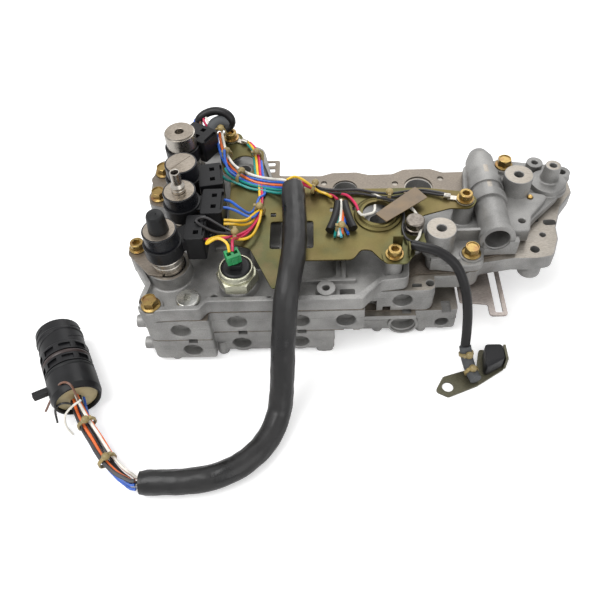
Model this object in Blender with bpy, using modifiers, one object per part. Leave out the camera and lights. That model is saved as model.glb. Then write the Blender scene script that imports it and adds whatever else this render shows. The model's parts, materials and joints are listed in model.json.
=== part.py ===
"""Transmission valve body with its solenoids, wiring plate and harness.

Metres, +Z up. The origin is the centre of the machined pad on the underside.
+X runs along the body towards the cylinder end, -Y is the face with the valve bores.
"""
import bpy
import bmesh
from math import acos, cos, pi, radians, sin, tan
from mathutils import Matrix, Vector

MM = 0.001

# Gap left between faces that touch
SEAT = 0.3 * MM

# How far a facet may lie inside the round surface it stands for
FACET_ERROR = 0.3 * MM

# Degrees between faces that still count as one flat face
FLAT_ANGLE = 0.1

# Heights of the stacked castings and steel separator plates
LOWER_H = 26.7 * MM
SEPARATOR_T = 0.9 * MM
MIDDLE_H = 22.8 * MM
WING_H = 13.0 * MM
DECK_H = 7.5 * MM
RIM_H = 12.5 * MM
BULGE_GROUND = 0.0 * MM
PAD_H = 5.0 * MM
LOWER_UNDERSIDE = 4.5 * MM

LOWER_TOP = LOWER_H
LOWER_SEP_Z = LOWER_TOP + SEAT
MIDDLE_Z = LOWER_SEP_Z + SEPARATOR_T + SEAT
MIDDLE_TOP = MIDDLE_Z + MIDDLE_H
WING_Z = MIDDLE_TOP - WING_H
UPPER_SEP_Z = MIDDLE_TOP + SEAT
UPPER_Z = UPPER_SEP_Z + SEPARATOR_T + SEAT
DECK_TOP = UPPER_Z + DECK_H
RIM_TOP = UPPER_Z + RIM_H

# Plan of the castings
LEFT_X = -102.0 * MM
COLUMN_X = -114.0 * MM
RIGHT_X = 118.0 * MM
BLOCK_X = 99.0 * MM
FRONT_Y = -60.0 * MM
NOSE_Y = -67.0 * MM
NOSE_X = -66.0 * MM
SET_BACK_Y = -43.0 * MM
LOWER_STEP_X = 24.0 * MM
MIDDLE_STEP_X = 46.0 * MM
BACK_Y = 78.0 * MM

# Fasteners: 6 mm thread
BOLT_R = 3.0 * MM
BOLT_CLEAR = 0.4 * MM
BOLT_SHANK = 14.0 * MM
HEX_AF = 10.0 * MM
HEX_H = 5.5 * MM
FLANGE_R = 7.1 * MM
FLANGE_T = 1.6 * MM
SOCKET_HEAD_R = 5.0 * MM
SOCKET_HEAD_H = 6.0 * MM
SOCKET_AF = 5.0 * MM
SOCKET_DEPTH = 3.0 * MM
BOSS_R = 8.6 * MM

# Wiring plate, a pressed steel sheet on posts
PLATE_T = 1.2 * MM
PLATE_LIFT = 25.3 * MM
PLATE_Z = UPPER_Z + PLATE_LIFT
PLATE_TOP = PLATE_Z + PLATE_T
WIRE_R = 1.05 * MM

# Solenoids
CAN_R = 12.0 * MM
BAND_R = 11.4 * MM
SPIGOT_R = 8.0 * MM
COLLAR_R = 15.6 * MM
COLLAR_TOP = UPPER_Z + 19.5 * MM
CLASP_Z = UPPER_Z + 33.0 * MM
CLASP_H = 11.0 * MM
CLASP_R = 13.7 * MM
STUB_R = 3.0 * MM
STUB_DEPTH = 2.4 * MM

# Clamp that holds the first solenoid down by its groove
CLAMP_T = 1.5 * MM
GROOVE_R = 10.2 * MM

# Valve bores
BORE_R = 7.15 * MM
BORE_DEPTH = 62.0 * MM
BORE_WALL = 2.6 * MM
VALVE_CLEAR = 0.06 * MM
PLUG_INSET = 7.0 * MM
PLUG_T = 5.0 * MM
PLUG_HOLE_R = 2.2 * MM
VALVE_SIDES = 12
VALVE_LEN = 36.0 * MM
SPRING_TURNS = 4
SPRING_CHORDS = 8
SPRING_WIRE_R = 0.8 * MM
KEY_W = 6.2 * MM
KEY_T = 1.2 * MM
KEY_DEPTH = 9.0 * MM

# Manual valve and its slotted plate
MANUAL_R = 6.0 * MM
MANUAL_Y = 9.0 * MM
MANUAL_Z = 13.5 * MM
MANUAL_BORE_X = 42.0 * MM
MANUAL_NECK_R = 3.4 * MM
MANUAL_NECK_X = 127.0 * MM
MANUAL_NECK_W = 4.0 * MM
SHIFT_PLATE_T = 1.6 * MM
SHIFT_PLATE_Z = MIDDLE_Z + SEAT
SLOT_W = 5.3 * MM
SLOT_LEN = 44.0 * MM

# Harness
SLEEVE_R = 9.2 * MM
BUNDLE_R = 6.0 * MM
LEAD_R = 3.5 * MM
CONNECTOR_R = 18.0 * MM

PART = bpy.data.collections.new("valve_body_assembly")
CUTTERS = bpy.data.collections.new("cutters")


def clear_scene():
    for thing in list(bpy.data.objects):
        bpy.data.objects.remove(thing, do_unlink=True)
    bpy.context.scene.collection.children.link(PART)
    bpy.context.scene.collection.children.link(CUTTERS)


def material(name, colour, metallic, roughness):
    made = bpy.data.materials.get(name)
    if made is None:
        made = bpy.data.materials.new(name)
        made.use_nodes = True
        shader = made.node_tree.nodes["Principled BSDF"]
        shader.inputs["Base Color"].default_value = (*colour, 1.0)
        shader.inputs["Metallic"].default_value = metallic
        shader.inputs["Roughness"].default_value = roughness
    return made


def cast_aluminium():
    return material("cast_aluminium", (0.20, 0.20, 0.18), 0.8, 0.55)


def plate_steel():
    return material("separator_steel", (0.18, 0.16, 0.14), 0.9, 0.45)


def yellow_zinc():
    return material("yellow_zinc", (0.30, 0.22, 0.08), 0.9, 0.35)


def turned_steel():
    return material("turned_steel", (0.42, 0.38, 0.33), 1.0, 0.3)


def black_plastic():
    return material("black_plastic", (0.02, 0.02, 0.022), 0.0, 0.5)


def black_rubber():
    return material("black_rubber", (0.015, 0.015, 0.016), 0.0, 0.65)


def spring_steel():
    return material("spring_steel", (0.35, 0.34, 0.33), 1.0, 0.35)


def nylon_tie():
    return material("nylon_tie", (0.30, 0.24, 0.12), 0.0, 0.5)


# Points and outlines

def mm(*values):
    return tuple(v * MM for v in values)


def arc(cx, cy, r, start, end, steps):
    """Points of an arc, angles in degrees."""
    turn = [radians(start + (end - start) * i / steps) for i in range(steps + 1)]
    return [(cx + r * cos(a), cy + r * sin(a)) for a in turn]


def sides_of(r):
    """Even count of facets that keeps a circle of this radius within the allowed error."""
    return max(8, 2 * round(pi / acos(1 - FACET_ERROR / r) / 2))


def clear_of(r, gap=SEAT):
    """Radius of a faceted hole whose flats stay a gap outside a round piece of radius r."""
    return (r + gap) / cos(pi / sides_of(r))


def corner_steps(r):
    """Count of chords on a rounded corner."""
    if r < 2.5 * MM:
        return 1
    return 2 if r < 9 * MM else 3


def rounded(corners):
    """Closed outline through (x, y, radius) corners, each radius laid as an arc."""
    out = []
    count = len(corners)
    for i, (x, y, r) in enumerate(corners):
        here = Vector((x, y))
        before = (Vector(corners[i - 1][:2]) - here)
        after = (Vector(corners[(i + 1) % count][:2]) - here)
        if r <= 0:
            out.append((x, y))
            continue
        half = before.angle(after) / 2
        reach = min(r / tan(half), before.length * 0.48, after.length * 0.48)
        start = here + before.normalized() * reach
        end = here + after.normalized() * reach
        steps = corner_steps(r)
        for k in range(steps + 1):
            t = k / steps
            blend = start.lerp(here, t).lerp(here.lerp(end, t), t)
            out.append((blend.x, blend.y))
    return out


def rounded_box(x0, y0, x1, y1, r):
    return rounded([(x0, y0, r), (x1, y0, r), (x1, y1, r), (x0, y1, r)])


def circle(cx, cy, r):
    steps = sides_of(r)
    return [(cx + r * cos(2 * pi * i / steps), cy + r * sin(2 * pi * i / steps)) for i in range(steps)]


# Solids

def add_object(name, mesh, finish=None, collection=None):
    made = bpy.data.objects.new(name, mesh)
    (collection or PART).objects.link(made)
    if finish is not None:
        made.data.materials.clear()
        made.data.materials.append(finish)
    return made


def mesh_of(thing):
    """Evaluated mesh of an object in world space, welded; the object is removed."""
    graph = bpy.context.evaluated_depsgraph_get()
    mesh = bpy.data.meshes.new_from_object(thing.evaluated_get(graph))
    mesh.transform(thing.matrix_world)
    bpy.data.objects.remove(thing, do_unlink=True)
    weld(mesh)
    return mesh


def weld(mesh):
    work = bmesh.new()
    work.from_mesh(mesh)
    bmesh.ops.remove_doubles(work, verts=work.verts, dist=0.00001)
    bmesh.ops.recalc_face_normals(work, faces=work.faces)
    work.to_mesh(mesh)
    work.free()


def merge_flat(mesh):
    """Joins faces that lie in one plane, so that a flat face carries no leftover edges."""
    work = bmesh.new()
    work.from_mesh(mesh)
    bmesh.ops.dissolve_limit(work, angle_limit=radians(FLAT_ANGLE), verts=work.verts, edges=work.edges)
    work.to_mesh(mesh)
    work.free()
    return mesh


def flat_part(outline, z0, z1, holes=()):
    """Mesh of a flat outline with holes, from z0 to z1."""
    curve = bpy.data.curves.new("outline", "CURVE")
    curve.dimensions = "2D"
    curve.fill_mode = "BOTH"
    curve.extrude = (z1 - z0) / 2
    for ring in (outline, *holes):
        spline = curve.splines.new("POLY")
        spline.points.add(len(ring) - 1)
        for point, (x, y) in zip(spline.points, ring):
            point.co = (x, y, 0.0, 1.0)
        spline.use_cyclic_u = True
    guide = bpy.data.objects.new("outline", curve)
    CUTTERS.objects.link(guide)
    guide.location.z = (z0 + z1) / 2
    bpy.context.view_layer.update()
    return mesh_of(guide)


def cylinder(start, end, r, r_end=None):
    """Mesh of a closed cylinder or cone between two points."""
    start = Vector(start)
    sides = sides_of(max(r, r_end or 0.0))
    axis = Vector(end) - start
    work = bmesh.new()
    bmesh.ops.create_cone(work, cap_ends=True, segments=sides, radius1=r,
                          radius2=r if r_end is None else r_end, depth=axis.length)
    turn = axis.to_track_quat("Z", "Y").to_matrix().to_4x4()
    place = Matrix.Translation(start + axis / 2) @ turn
    bmesh.ops.transform(work, matrix=place, verts=work.verts)
    mesh = bpy.data.meshes.new("cylinder")
    work.to_mesh(mesh)
    work.free()
    return mesh


def block(low, high):
    """Mesh of a box between two corners."""
    low, high = Vector(low), Vector(high)
    work = bmesh.new()
    bmesh.ops.create_cube(work, size=1.0)
    size = high - low
    bmesh.ops.scale(work, vec=size, verts=work.verts)
    bmesh.ops.translate(work, vec=(low + high) / 2, verts=work.verts)
    mesh = bpy.data.meshes.new("block")
    work.to_mesh(mesh)
    work.free()
    return mesh


def turned(profile, sides=None):
    """Mesh turned about Z from (radius, height) points, listed from the top down."""
    sides = sides or sides_of(max(r for r, _ in profile))
    line = bpy.data.meshes.new("profile")
    points = [(r, 0.0, z) for r, z in profile]
    line.from_pydata(points, [(i, i + 1) for i in range(len(points) - 1)], [])
    spun = bpy.data.objects.new("profile", line)
    CUTTERS.objects.link(spun)
    screw = spun.modifiers.new("turn", "SCREW")
    screw.steps = sides
    screw.render_steps = sides
    screw.use_merge_vertices = True
    screw.merge_threshold = 0.00001
    screw.use_smooth_shade = True
    bpy.context.view_layer.update()
    return mesh_of(spun)


def tube(points, r, resolution=2):
    """Mesh of a round tube along a list of points."""
    curve = bpy.data.curves.new("route", "CURVE")
    curve.dimensions = "3D"
    curve.bevel_depth = r
    curve.bevel_resolution = resolution
    curve.use_fill_caps = True
    spline = curve.splines.new("POLY")
    spline.points.add(len(points) - 1)
    for point, place in zip(spline.points, points):
        point.co = (*place, 1.0)
    guide = bpy.data.objects.new("route", curve)
    CUTTERS.objects.link(guide)
    bpy.context.view_layer.update()
    return mesh_of(guide)


def moved(mesh, offset, turn_z=0.0):
    """Copy of a mesh, turned about Z and moved."""
    copy = mesh.copy()
    copy.transform(Matrix.Translation(offset) @ Matrix.Rotation(turn_z, 4, "Z"))
    return copy


def solid(name, mesh, finish):
    """One node, shaded smooth where its faces meet softly."""
    return shade(add_object(name, mesh, finish))


def shade(thing, angle=35.0):
    thing.data.shade_smooth()
    thing.data.set_sharp_from_angle(angle=radians(angle))
    return thing


def combined(base, *steps):
    """Mesh of a base after (operation, meshes) steps, each one Boolean with all its meshes."""
    made = bpy.data.objects.new("base", base)
    CUTTERS.objects.link(made)
    holders = []
    for operation, meshes in steps:
        if not meshes:
            continue
        holder = bpy.data.collections.new("operands")
        CUTTERS.children.link(holder)
        holders.append(holder)
        for mesh in meshes:
            cutter = bpy.data.objects.new("operand", mesh)
            cutter.hide_render = True
            cutter.display_type = "WIRE"
            holder.objects.link(cutter)
        step = made.modifiers.new(operation.lower(), "BOOLEAN")
        step.operation = operation
        step.operand_type = "COLLECTION"
        step.solver = "EXACT"
        step.collection = holder
    bpy.context.view_layer.update()
    mesh = mesh_of(made)
    for holder in holders:
        for cutter in list(holder.objects):
            bpy.data.objects.remove(cutter, do_unlink=True)
        bpy.data.collections.remove(holder)
    return merge_flat(mesh)


def machined(name, base, finish, additions=(), cuts=()):
    """Solid made from a base mesh, what is joined to it and what is cut from it."""
    mesh = combined(base, ("UNION", additions), ("DIFFERENCE", cuts))
    return solid(name, mesh, finish)


def smooth_route(points, spacing):
    """Points every so often along a smooth curve through the given ones."""
    knots = [Vector(p) for p in points]
    knots = [knots[0] * 2 - knots[1]] + knots + [knots[-1] * 2 - knots[-2]]
    fine = []
    for a, b, c, d in zip(knots, knots[1:], knots[2:], knots[3:]):
        for k in range(12):
            t = k / 12
            fine.append(0.5 * (2 * b + (c - a) * t + (2 * a - 5 * b + 4 * c - d) * t ** 2
                               + (3 * b - a - 3 * c + d) * t ** 3))
    fine.append(knots[-2])
    total = sum((q - p).length for p, q in zip(fine, fine[1:]))
    count = max(2, round(total / spacing))
    out, run, goal = [fine[0]], 0.0, total / count
    for p, q in zip(fine, fine[1:]):
        step = (q - p).length
        while run + step >= goal * len(out) - 1e-9 and len(out) < count:
            out.append(p.lerp(q, (goal * len(out) - run) / step))
        run += step
    out.append(fine[-1])
    return out


# Where the bolts, bores and solenoids sit

# Hex flange bolts: x, y, height of the seat above the upper separator plate
HEX_BOLTS = {
    "front_left": (*mm(-106.0, -60.0), RIM_TOP - 2.6 * MM),
    "front_right": (*mm(126.0, -16.0), UPPER_Z + 8.5 * MM),
    "back_right": (*mm(166.0, 78.0), UPPER_Z + 10.0 * MM),
    "back_left": (*mm(-119.0, 92.0), UPPER_Z),
    "mid_left": (*mm(-119.0, 62.0), UPPER_Z),
}

# Socket head bolts: x, y, seat
RING_T = 1.0 * MM
SOCKET_BOLTS = {
    "left_ear": (*mm(-119.5, -15.0), COLLAR_TOP + CLAMP_T + 2 * SEAT),
    "plate_back": (*mm(-58.0, 101.0), PLATE_TOP + RING_T + 2 * SEAT),
    "plate_right": (*mm(124.0, 21.0), PLATE_TOP + RING_T + 2 * SEAT),
    "plate_front": (*mm(67.0, -33.0), PLATE_TOP + RING_T + 2 * SEAT),
}

# Valve bores: casting, x, z, radius, y of the mouth, depth, whether a spring valve runs in it
UPPER_ROW_Z = MIDDLE_Z + 11.4 * MM
BORES = {
    "upper_valve_1": ("middle", -88.0 * MM, UPPER_ROW_Z, BORE_R, NOSE_Y, BORE_DEPTH, False),
    "upper_valve_2": ("middle", -47.2 * MM, UPPER_ROW_Z, BORE_R, FRONT_Y, BORE_DEPTH, True),
    "upper_valve_3": ("middle", -1.0 * MM, UPPER_ROW_Z, BORE_R, FRONT_Y, BORE_DEPTH, True),
    "upper_valve_4": ("middle", 32.4 * MM, UPPER_ROW_Z, BORE_R, FRONT_Y, BORE_DEPTH, True),
    "upper_valve_5": ("middle", 75.0 * MM, UPPER_ROW_Z, BORE_R, SET_BACK_Y, BORE_DEPTH, True),
    "lower_valve_1": ("lower", -83.0 * MM, 14.6 * MM, BORE_R, NOSE_Y, BORE_DEPTH, False),
    "lower_valve_2": ("lower", -46.4 * MM, 12.6 * MM, BORE_R, FRONT_Y, BORE_DEPTH, False),
    "lower_valve_3": ("lower", -2.2 * MM, 13.4 * MM, BORE_R, FRONT_Y, BORE_DEPTH, True),
    "lower_valve_4": ("lower", 77.0 * MM, 12.2 * MM, 9.0 * MM, SET_BACK_Y, 42.0 * MM, False),
    "lower_valve_5": ("lower", 107.0 * MM, 12.0 * MM, 5.2 * MM, SET_BACK_Y, 30.0 * MM, False),
}

# Solenoids: x, y, height of the top face
SOLENOIDS = {
    1: (*mm(-95.0, -30.0), UPPER_Z + 55.5 * MM),
    2: (*mm(-86.0, 9.5), UPPER_Z + 54.5 * MM),
    3: (*mm(-88.0, 38.0), UPPER_Z + 56.0 * MM),
    4: (*mm(-93.0, 73.5), UPPER_Z + 57.5 * MM),
}
SOLENOID_FOOT = UPPER_Z + 5.0 * MM

# Posts that carry the wiring plate
PLATE_POSTS = [mm(-58.0, 101.0), mm(67.0, -33.0), mm(124.0, 21.0), mm(-30.0, -20.5), mm(36.0, 28.0)]
POST_R = 6.2 * MM

# Case bolt pads with their machined faces
PADS = {"front_pad": mm(103.0, -8.0), "back_pad": mm(169.0, 47.0)}
PAD_R = 11.0 * MM
PAD_TOP = UPPER_Z + 27.5 * MM
CASE_BOLT_R = 3.5 * MM

# Spool cylinder on the right
CYL_X = 145.0 * MM
CYL_Z = UPPER_Z + 15.5 * MM
CYL_R = 12.0 * MM
CYL_BORE_R = 9.0 * MM
CYL_BORE_DEPTH = 48.0 * MM
CYL_FRONT = -10.0 * MM
CYL_BACK = 86.0 * MM

# Pressure switch
SWITCH_X = -44.5 * MM
SWITCH_Y = -42.0 * MM
SWITCH_AF = 26.0 * MM
SWITCH_SEAT = UPPER_Z + 14.5 * MM
SWITCH_HEX_H = 8.5 * MM
SWITCH_RIM_R = 12.4 * MM
SWITCH_THREAD_R = 6.0 * MM

# Aluminium gallery plug on the front left boss
GALLERY_X = -80.5 * MM
GALLERY_Y = -54.0 * MM
GALLERY_R = 8.6 * MM
GALLERY_THREAD_R = 5.2 * MM
GALLERY_TOP = UPPER_Z + 10.5 * MM

# Round check plug beside the front pad
CHECK_X = 83.5 * MM
CHECK_Y = -6.5 * MM
CHECK_R = 6.8 * MM
CHECK_THREAD_R = 4.5 * MM
CHECK_SEAT = UPPER_Z + 16.0 * MM
CHECK_TOP = PLATE_TOP + 9.0 * MM

# Hanging boss at the right end
HANG_X = 177.0 * MM
HANG_Y = -5.0 * MM
HANG_R = 8.8 * MM
HANG_LEN = 11.0 * MM


def bolt_holes(z0, z1, names=HEX_BOLTS):
    """Clearance cutters for the hex bolts whose shanks reach between two heights."""
    cuts = []
    for name in names:
        x, y, seat = HEX_BOLTS[name]
        if seat - BOLT_SHANK < z1:
            cuts.append(cylinder((x, y, z0), (x, y, z1), BOLT_R + BOLT_CLEAR))
    return cuts


def bore_cutters(casting):
    """Mouth pockets, plug holes and valve chambers of one casting."""
    cuts = []
    for where, x, z, r, mouth, depth, sprung in BORES.values():
        if where != casting:
            continue
        cuts.append(cylinder((x, mouth - 5 * MM, z), (x, mouth + PLUG_INSET, z), r))
        if sprung:
            cuts.append(valve_chamber(x, z, r, mouth, depth))
            cuts.append(cylinder((x, mouth, z), (x, mouth + PLUG_INSET + PLUG_T + 2 * MM, z), PLUG_HOLE_R))
        else:
            cuts.append(cylinder((x, mouth, z), (x, mouth + PLUG_INSET + 1.6 * MM, z), r * 0.5))
    return cuts


def valve_chamber(x, z, r, mouth, depth):
    """Chamber behind a bore's plug, faceted like the valve that slides in it."""
    start = mouth + PLUG_INSET + PLUG_T
    length = depth - PLUG_INSET - PLUG_T
    return along_y(turned([(0.0, length), (r, length), (r, 0.0), (0.0, 0.0)], VALVE_SIDES), x, start, z)


def along_y(mesh, x, y, z):
    """Copy of a mesh made along Z, laid along +Y from a point."""
    copy = mesh.copy()
    copy.transform(Matrix.Translation((x, y, z)) @ Matrix.Rotation(radians(-90), 4, "X"))
    return copy


def along_x(mesh, x, y, z):
    """Copy of a mesh made along Z, laid along +X from a point."""
    copy = mesh.copy()
    copy.transform(Matrix.Translation((x, y, z)) @ Matrix.Rotation(radians(90), 4, "Y"))
    return copy


# Separator plates and castings

def lower_outline(inset=0.0):
    i = inset
    return rounded([
        (LEFT_X + i, -46 * MM, 3 * MM), (COLUMN_X + i, -52 * MM, 5 * MM), (COLUMN_X + i, NOSE_Y + i, 7 * MM),
        (NOSE_X - i, NOSE_Y + i, 2 * MM), (NOSE_X - i, FRONT_Y + i, 1 * MM), (LOWER_STEP_X - i, FRONT_Y + i, 2 * MM), (LOWER_STEP_X - i, SET_BACK_Y + i, 3 * MM),
        (RIGHT_X - i, SET_BACK_Y + i, 4 * MM), (RIGHT_X - i, 20 * MM - i, 6 * MM), (100 * MM - i, 34 * MM - i, 8 * MM),
        (98 * MM - i, 64 * MM - i, 12 * MM), (60 * MM - i, BACK_Y - i, 10 * MM),
        (-70 * MM + i, BACK_Y - i, 10 * MM), (LEFT_X + i, 60 * MM - i, 12 * MM),
    ])


def middle_outline(inset=0.0):
    i = inset
    return rounded([
        (LEFT_X + i, -46 * MM, 3 * MM), (COLUMN_X + i, -52 * MM, 5 * MM), (COLUMN_X + i, NOSE_Y + i, 7 * MM),
        (NOSE_X - i, NOSE_Y + i, 2 * MM), (NOSE_X - i, FRONT_Y + i, 1 * MM), (MIDDLE_STEP_X - i, FRONT_Y + i, 2 * MM), (MIDDLE_STEP_X - i, SET_BACK_Y + i, 2 * MM),
        (BLOCK_X - i, SET_BACK_Y + i, 8 * MM), (BLOCK_X - i, 60 * MM - i, 4 * MM), (120 * MM - i, 64 * MM, 4 * MM),
        (120 * MM - i, BACK_Y + 4 * MM - i, 6 * MM), (-28 * MM + i, BACK_Y + 4 * MM - i, 6 * MM),
        (-34 * MM, 112 * MM - i, 10 * MM), (-62 * MM, 118 * MM - i, 12 * MM), (-104 * MM, 112 * MM - i, 10 * MM),
        (-127 * MM + i, 104 * MM, 9 * MM), (-128 * MM + i, 80 * MM, 8 * MM), (-127 * MM + i, 54 * MM, 8 * MM),
        (LEFT_X + i, 46 * MM, 8 * MM),
    ])


def wing_outline():
    return rounded([
        (88 * MM, -30 * MM, 6 * MM), (120 * MM, -30 * MM, 8 * MM), (136 * MM, -18 * MM, 8 * MM),
        (160 * MM, -14 * MM, 8 * MM), (HANG_X, -14.5 * MM, 9 * MM), (190 * MM, -12 * MM, 7 * MM),
        (197 * MM, 6 * MM, 4 * MM), (198 * MM, 18 * MM, 4 * MM), (206 * MM, 39 * MM, 6 * MM),
        (219 * MM, 56 * MM, 6 * MM), (219 * MM, 78 * MM, 10 * MM), (196 * MM, 92 * MM, 10 * MM),
        (150 * MM, 90 * MM, 8 * MM), (130 * MM, BACK_Y + 4 * MM, 6 * MM), (88 * MM, BACK_Y + 4 * MM, 2 * MM),
    ])


def key_slots(z0, z1, rows):
    """Cutters for the retainer key slots above or below the split of two castings."""
    cuts = []
    for name in rows:
        _, x, _, _, mouth, _, _ = BORES[name]
        cuts.append(block((x + 2 * MM - KEY_W / 2 - SEAT, mouth - 2 * MM, z0),
                          (x + 2 * MM + KEY_W / 2 + SEAT, mouth + KEY_DEPTH, z1)))
    return cuts


KEYED = ("lower_valve_1", "lower_valve_2", "lower_valve_3", "upper_valve_4", "lower_valve_4", "lower_valve_5")


def build_lower_body():
    base = flat_part(lower_outline(), LOWER_UNDERSIDE, LOWER_TOP)
    joined = [flat_part(rounded_box(*mm(-62, -34, 66, 58, 12)), 0.0, PAD_H + LOWER_UNDERSIDE)]
    for name, (where, x, z, r, mouth, depth, _) in BORES.items():
        if where == "lower":
            outer = min(r + BORE_WALL, z - BULGE_GROUND)
            joined.append(cylinder((x, mouth - (2.0 * MM if r > BORE_R else 0.2 * MM), z),
                                   (x, mouth + depth + 4 * MM, z), outer))
    for x, y, r in ((-98, -61, 4.6), (-62, -57, 4.6), (16, -53, 7.5), (58, -38.5, 4.3), (92, -39, 4.3),
                    (-92, 40, 6.0), (84, 52, 6.0)):
        joined.append(cylinder(mm(x, y, 0), mm(x, y, 15), r * MM))
    joined.append(flat_part(rounded_box(*mm(10, -60, 23, -46, 3)), 0.0, 12 * MM))
    joined.append(cylinder(mm(-121, -57, 12), mm(-100, -57, 12), 4.8 * MM))
    joined.append(block((LOWER_STEP_X - 1 * MM, SET_BACK_Y - 4.5 * MM, LOWER_TOP - 4 * MM),
                        (86 * MM, SET_BACK_Y + 2 * MM, LOWER_TOP)))
    joined.append(cylinder((96 * MM, MANUAL_Y, MANUAL_Z), (RIGHT_X + 1.5 * MM, MANUAL_Y, MANUAL_Z), 8.6 * MM))
    cuts = bore_cutters("lower")
    cuts += key_slots(LOWER_TOP - 2.4 * MM, LOWER_TOP + 5 * MM, KEYED)
    reach = RIGHT_X + 6 * MM - MANUAL_BORE_X
    r = MANUAL_R + VALVE_CLEAR
    cuts.append(along_x(turned([(0.0, reach), (r, reach), (r, 0.0), (0.0, 0.0)]), MANUAL_BORE_X, MANUAL_Y,
                        MANUAL_Z))
    x, y = PADS["front_pad"]
    cuts.append(cylinder((x, y, -1 * MM), (x, y, LOWER_TOP + 1 * MM), CASE_BOLT_R))
    for x, y, w, d in ((-40, 8, 26, 14), (-2, 8, 24, 16), (34, 8, 22, 14), (-40, 36, 22, 14), (-4, 38, 20, 12),
                       (32, 38, 24, 12)):
        cuts.append(flat_part(rounded_box(*mm(x - w / 2, y - d / 2 + 12, x + w / 2, y + d / 2 + 8, 4)),
                              -1 * MM, 3.2 * MM))
    return machined("lower_body", base, cast_aluminium(), joined, cuts)


def build_lower_separator():
    inset = 0.5 * MM
    outline = rounded([
        (LEFT_X + inset, -46 * MM, 3 * MM), (COLUMN_X + inset, -52 * MM, 5 * MM),
        (COLUMN_X + inset, NOSE_Y + inset, 7 * MM), (NOSE_X - inset, NOSE_Y + inset, 2 * MM),
        (NOSE_X - inset, FRONT_Y + inset, 1 * MM), (LOWER_STEP_X + 20 * MM, FRONT_Y + inset, 2 * MM),
        (LOWER_STEP_X + 20 * MM, SET_BACK_Y + inset, 3 * MM), (BLOCK_X, SET_BACK_Y + inset, 6 * MM),
        (BLOCK_X, 62 * MM, 12 * MM), (60 * MM, BACK_Y - inset, 10 * MM), (-70 * MM, BACK_Y - inset, 10 * MM),
        (LEFT_X + inset, 58 * MM, 12 * MM)])
    holes = [circle(*mm(x, y, r)) for x, y, r in ((-60, 40, 3), (-20, 50, 4), (20, 50, 3), (50, 30, 4),
                                                      (-80, 20, 3), (80, 40, 3), (0, 20, 3))]
    mesh = flat_part(outline, LOWER_SEP_Z, LOWER_SEP_Z + SEPARATOR_T, holes)
    cuts = key_slots(LOWER_SEP_Z - 2 * MM, LOWER_SEP_Z + 4 * MM, KEYED)
    return machined("lower_separator_plate", mesh, plate_steel(), (), cuts)


def build_middle_body():
    base = flat_part(middle_outline(), MIDDLE_Z, MIDDLE_TOP)
    joined = [flat_part(wing_outline(), WING_Z, MIDDLE_TOP)]
    joined.append(cylinder((HANG_X, HANG_Y, WING_Z - HANG_LEN), (HANG_X, HANG_Y, MIDDLE_TOP), HANG_R))
    x, y, _ = HEX_BOLTS["front_right"]
    joined.append(cylinder((x, y, SHIFT_PLATE_Z + SHIFT_PLATE_T + 3 * MM), (x, y, MIDDLE_TOP), BOSS_R))
    joined.append(cylinder(mm(-121, -57, 40), mm(-100, -57, 40), 4.8 * MM))
    cuts = bore_cutters("middle")
    cuts += key_slots(MIDDLE_Z - 2 * MM, MIDDLE_Z + 1.0 * MM, KEYED)
    cuts.append(cylinder((HANG_X, HANG_Y, 0), (HANG_X, HANG_Y, MIDDLE_TOP + 5 * MM), 3.6 * MM))
    for x, y, r, depth in ((183.7, 26, 2.2, 6), (186, 10, 2.4, 9), (94.7, -35.7, 3.0, 12),
                           (36, 66, 9.5, 18), (96.4, 66, 10.5, 18)):
        cuts.append(cylinder((x * MM, y * MM, MIDDLE_TOP - depth * MM), (x * MM, y * MM, MIDDLE_TOP + 2 * MM),
                             r * MM))
    cuts.append(flat_part(rounded_box(*mm(189, 20, 199, 26, 2.8)), MIDDLE_TOP - 8 * MM, MIDDLE_TOP + 2 * MM))
    cuts.append(block(mm(81.5, -39.3, 46), (*mm(88.5, -36.0), MIDDLE_TOP + 2 * MM)))
    cuts.append(block((60.5 * MM, SET_BACK_Y - 2 * MM, MIDDLE_Z - 1 * MM),
                      (66.5 * MM, SET_BACK_Y + 7 * MM, MIDDLE_Z + 5 * MM)))
    # Lightening pocket in the block's left flank, above the lower ledge
    cuts.append(flat_part(rounded_box(*mm(47, -50, 56, -36, 3)), MIDDLE_Z - 1 * MM, MIDDLE_Z + 12 * MM))
    cuts += bolt_holes(MIDDLE_TOP - 14 * MM, MIDDLE_TOP + 1 * MM)
    cuts += case_bolt_holes(MIDDLE_Z - 5 * MM, MIDDLE_TOP + 1 * MM)
    return machined("middle_body", base, cast_aluminium(), joined, cuts)


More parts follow.
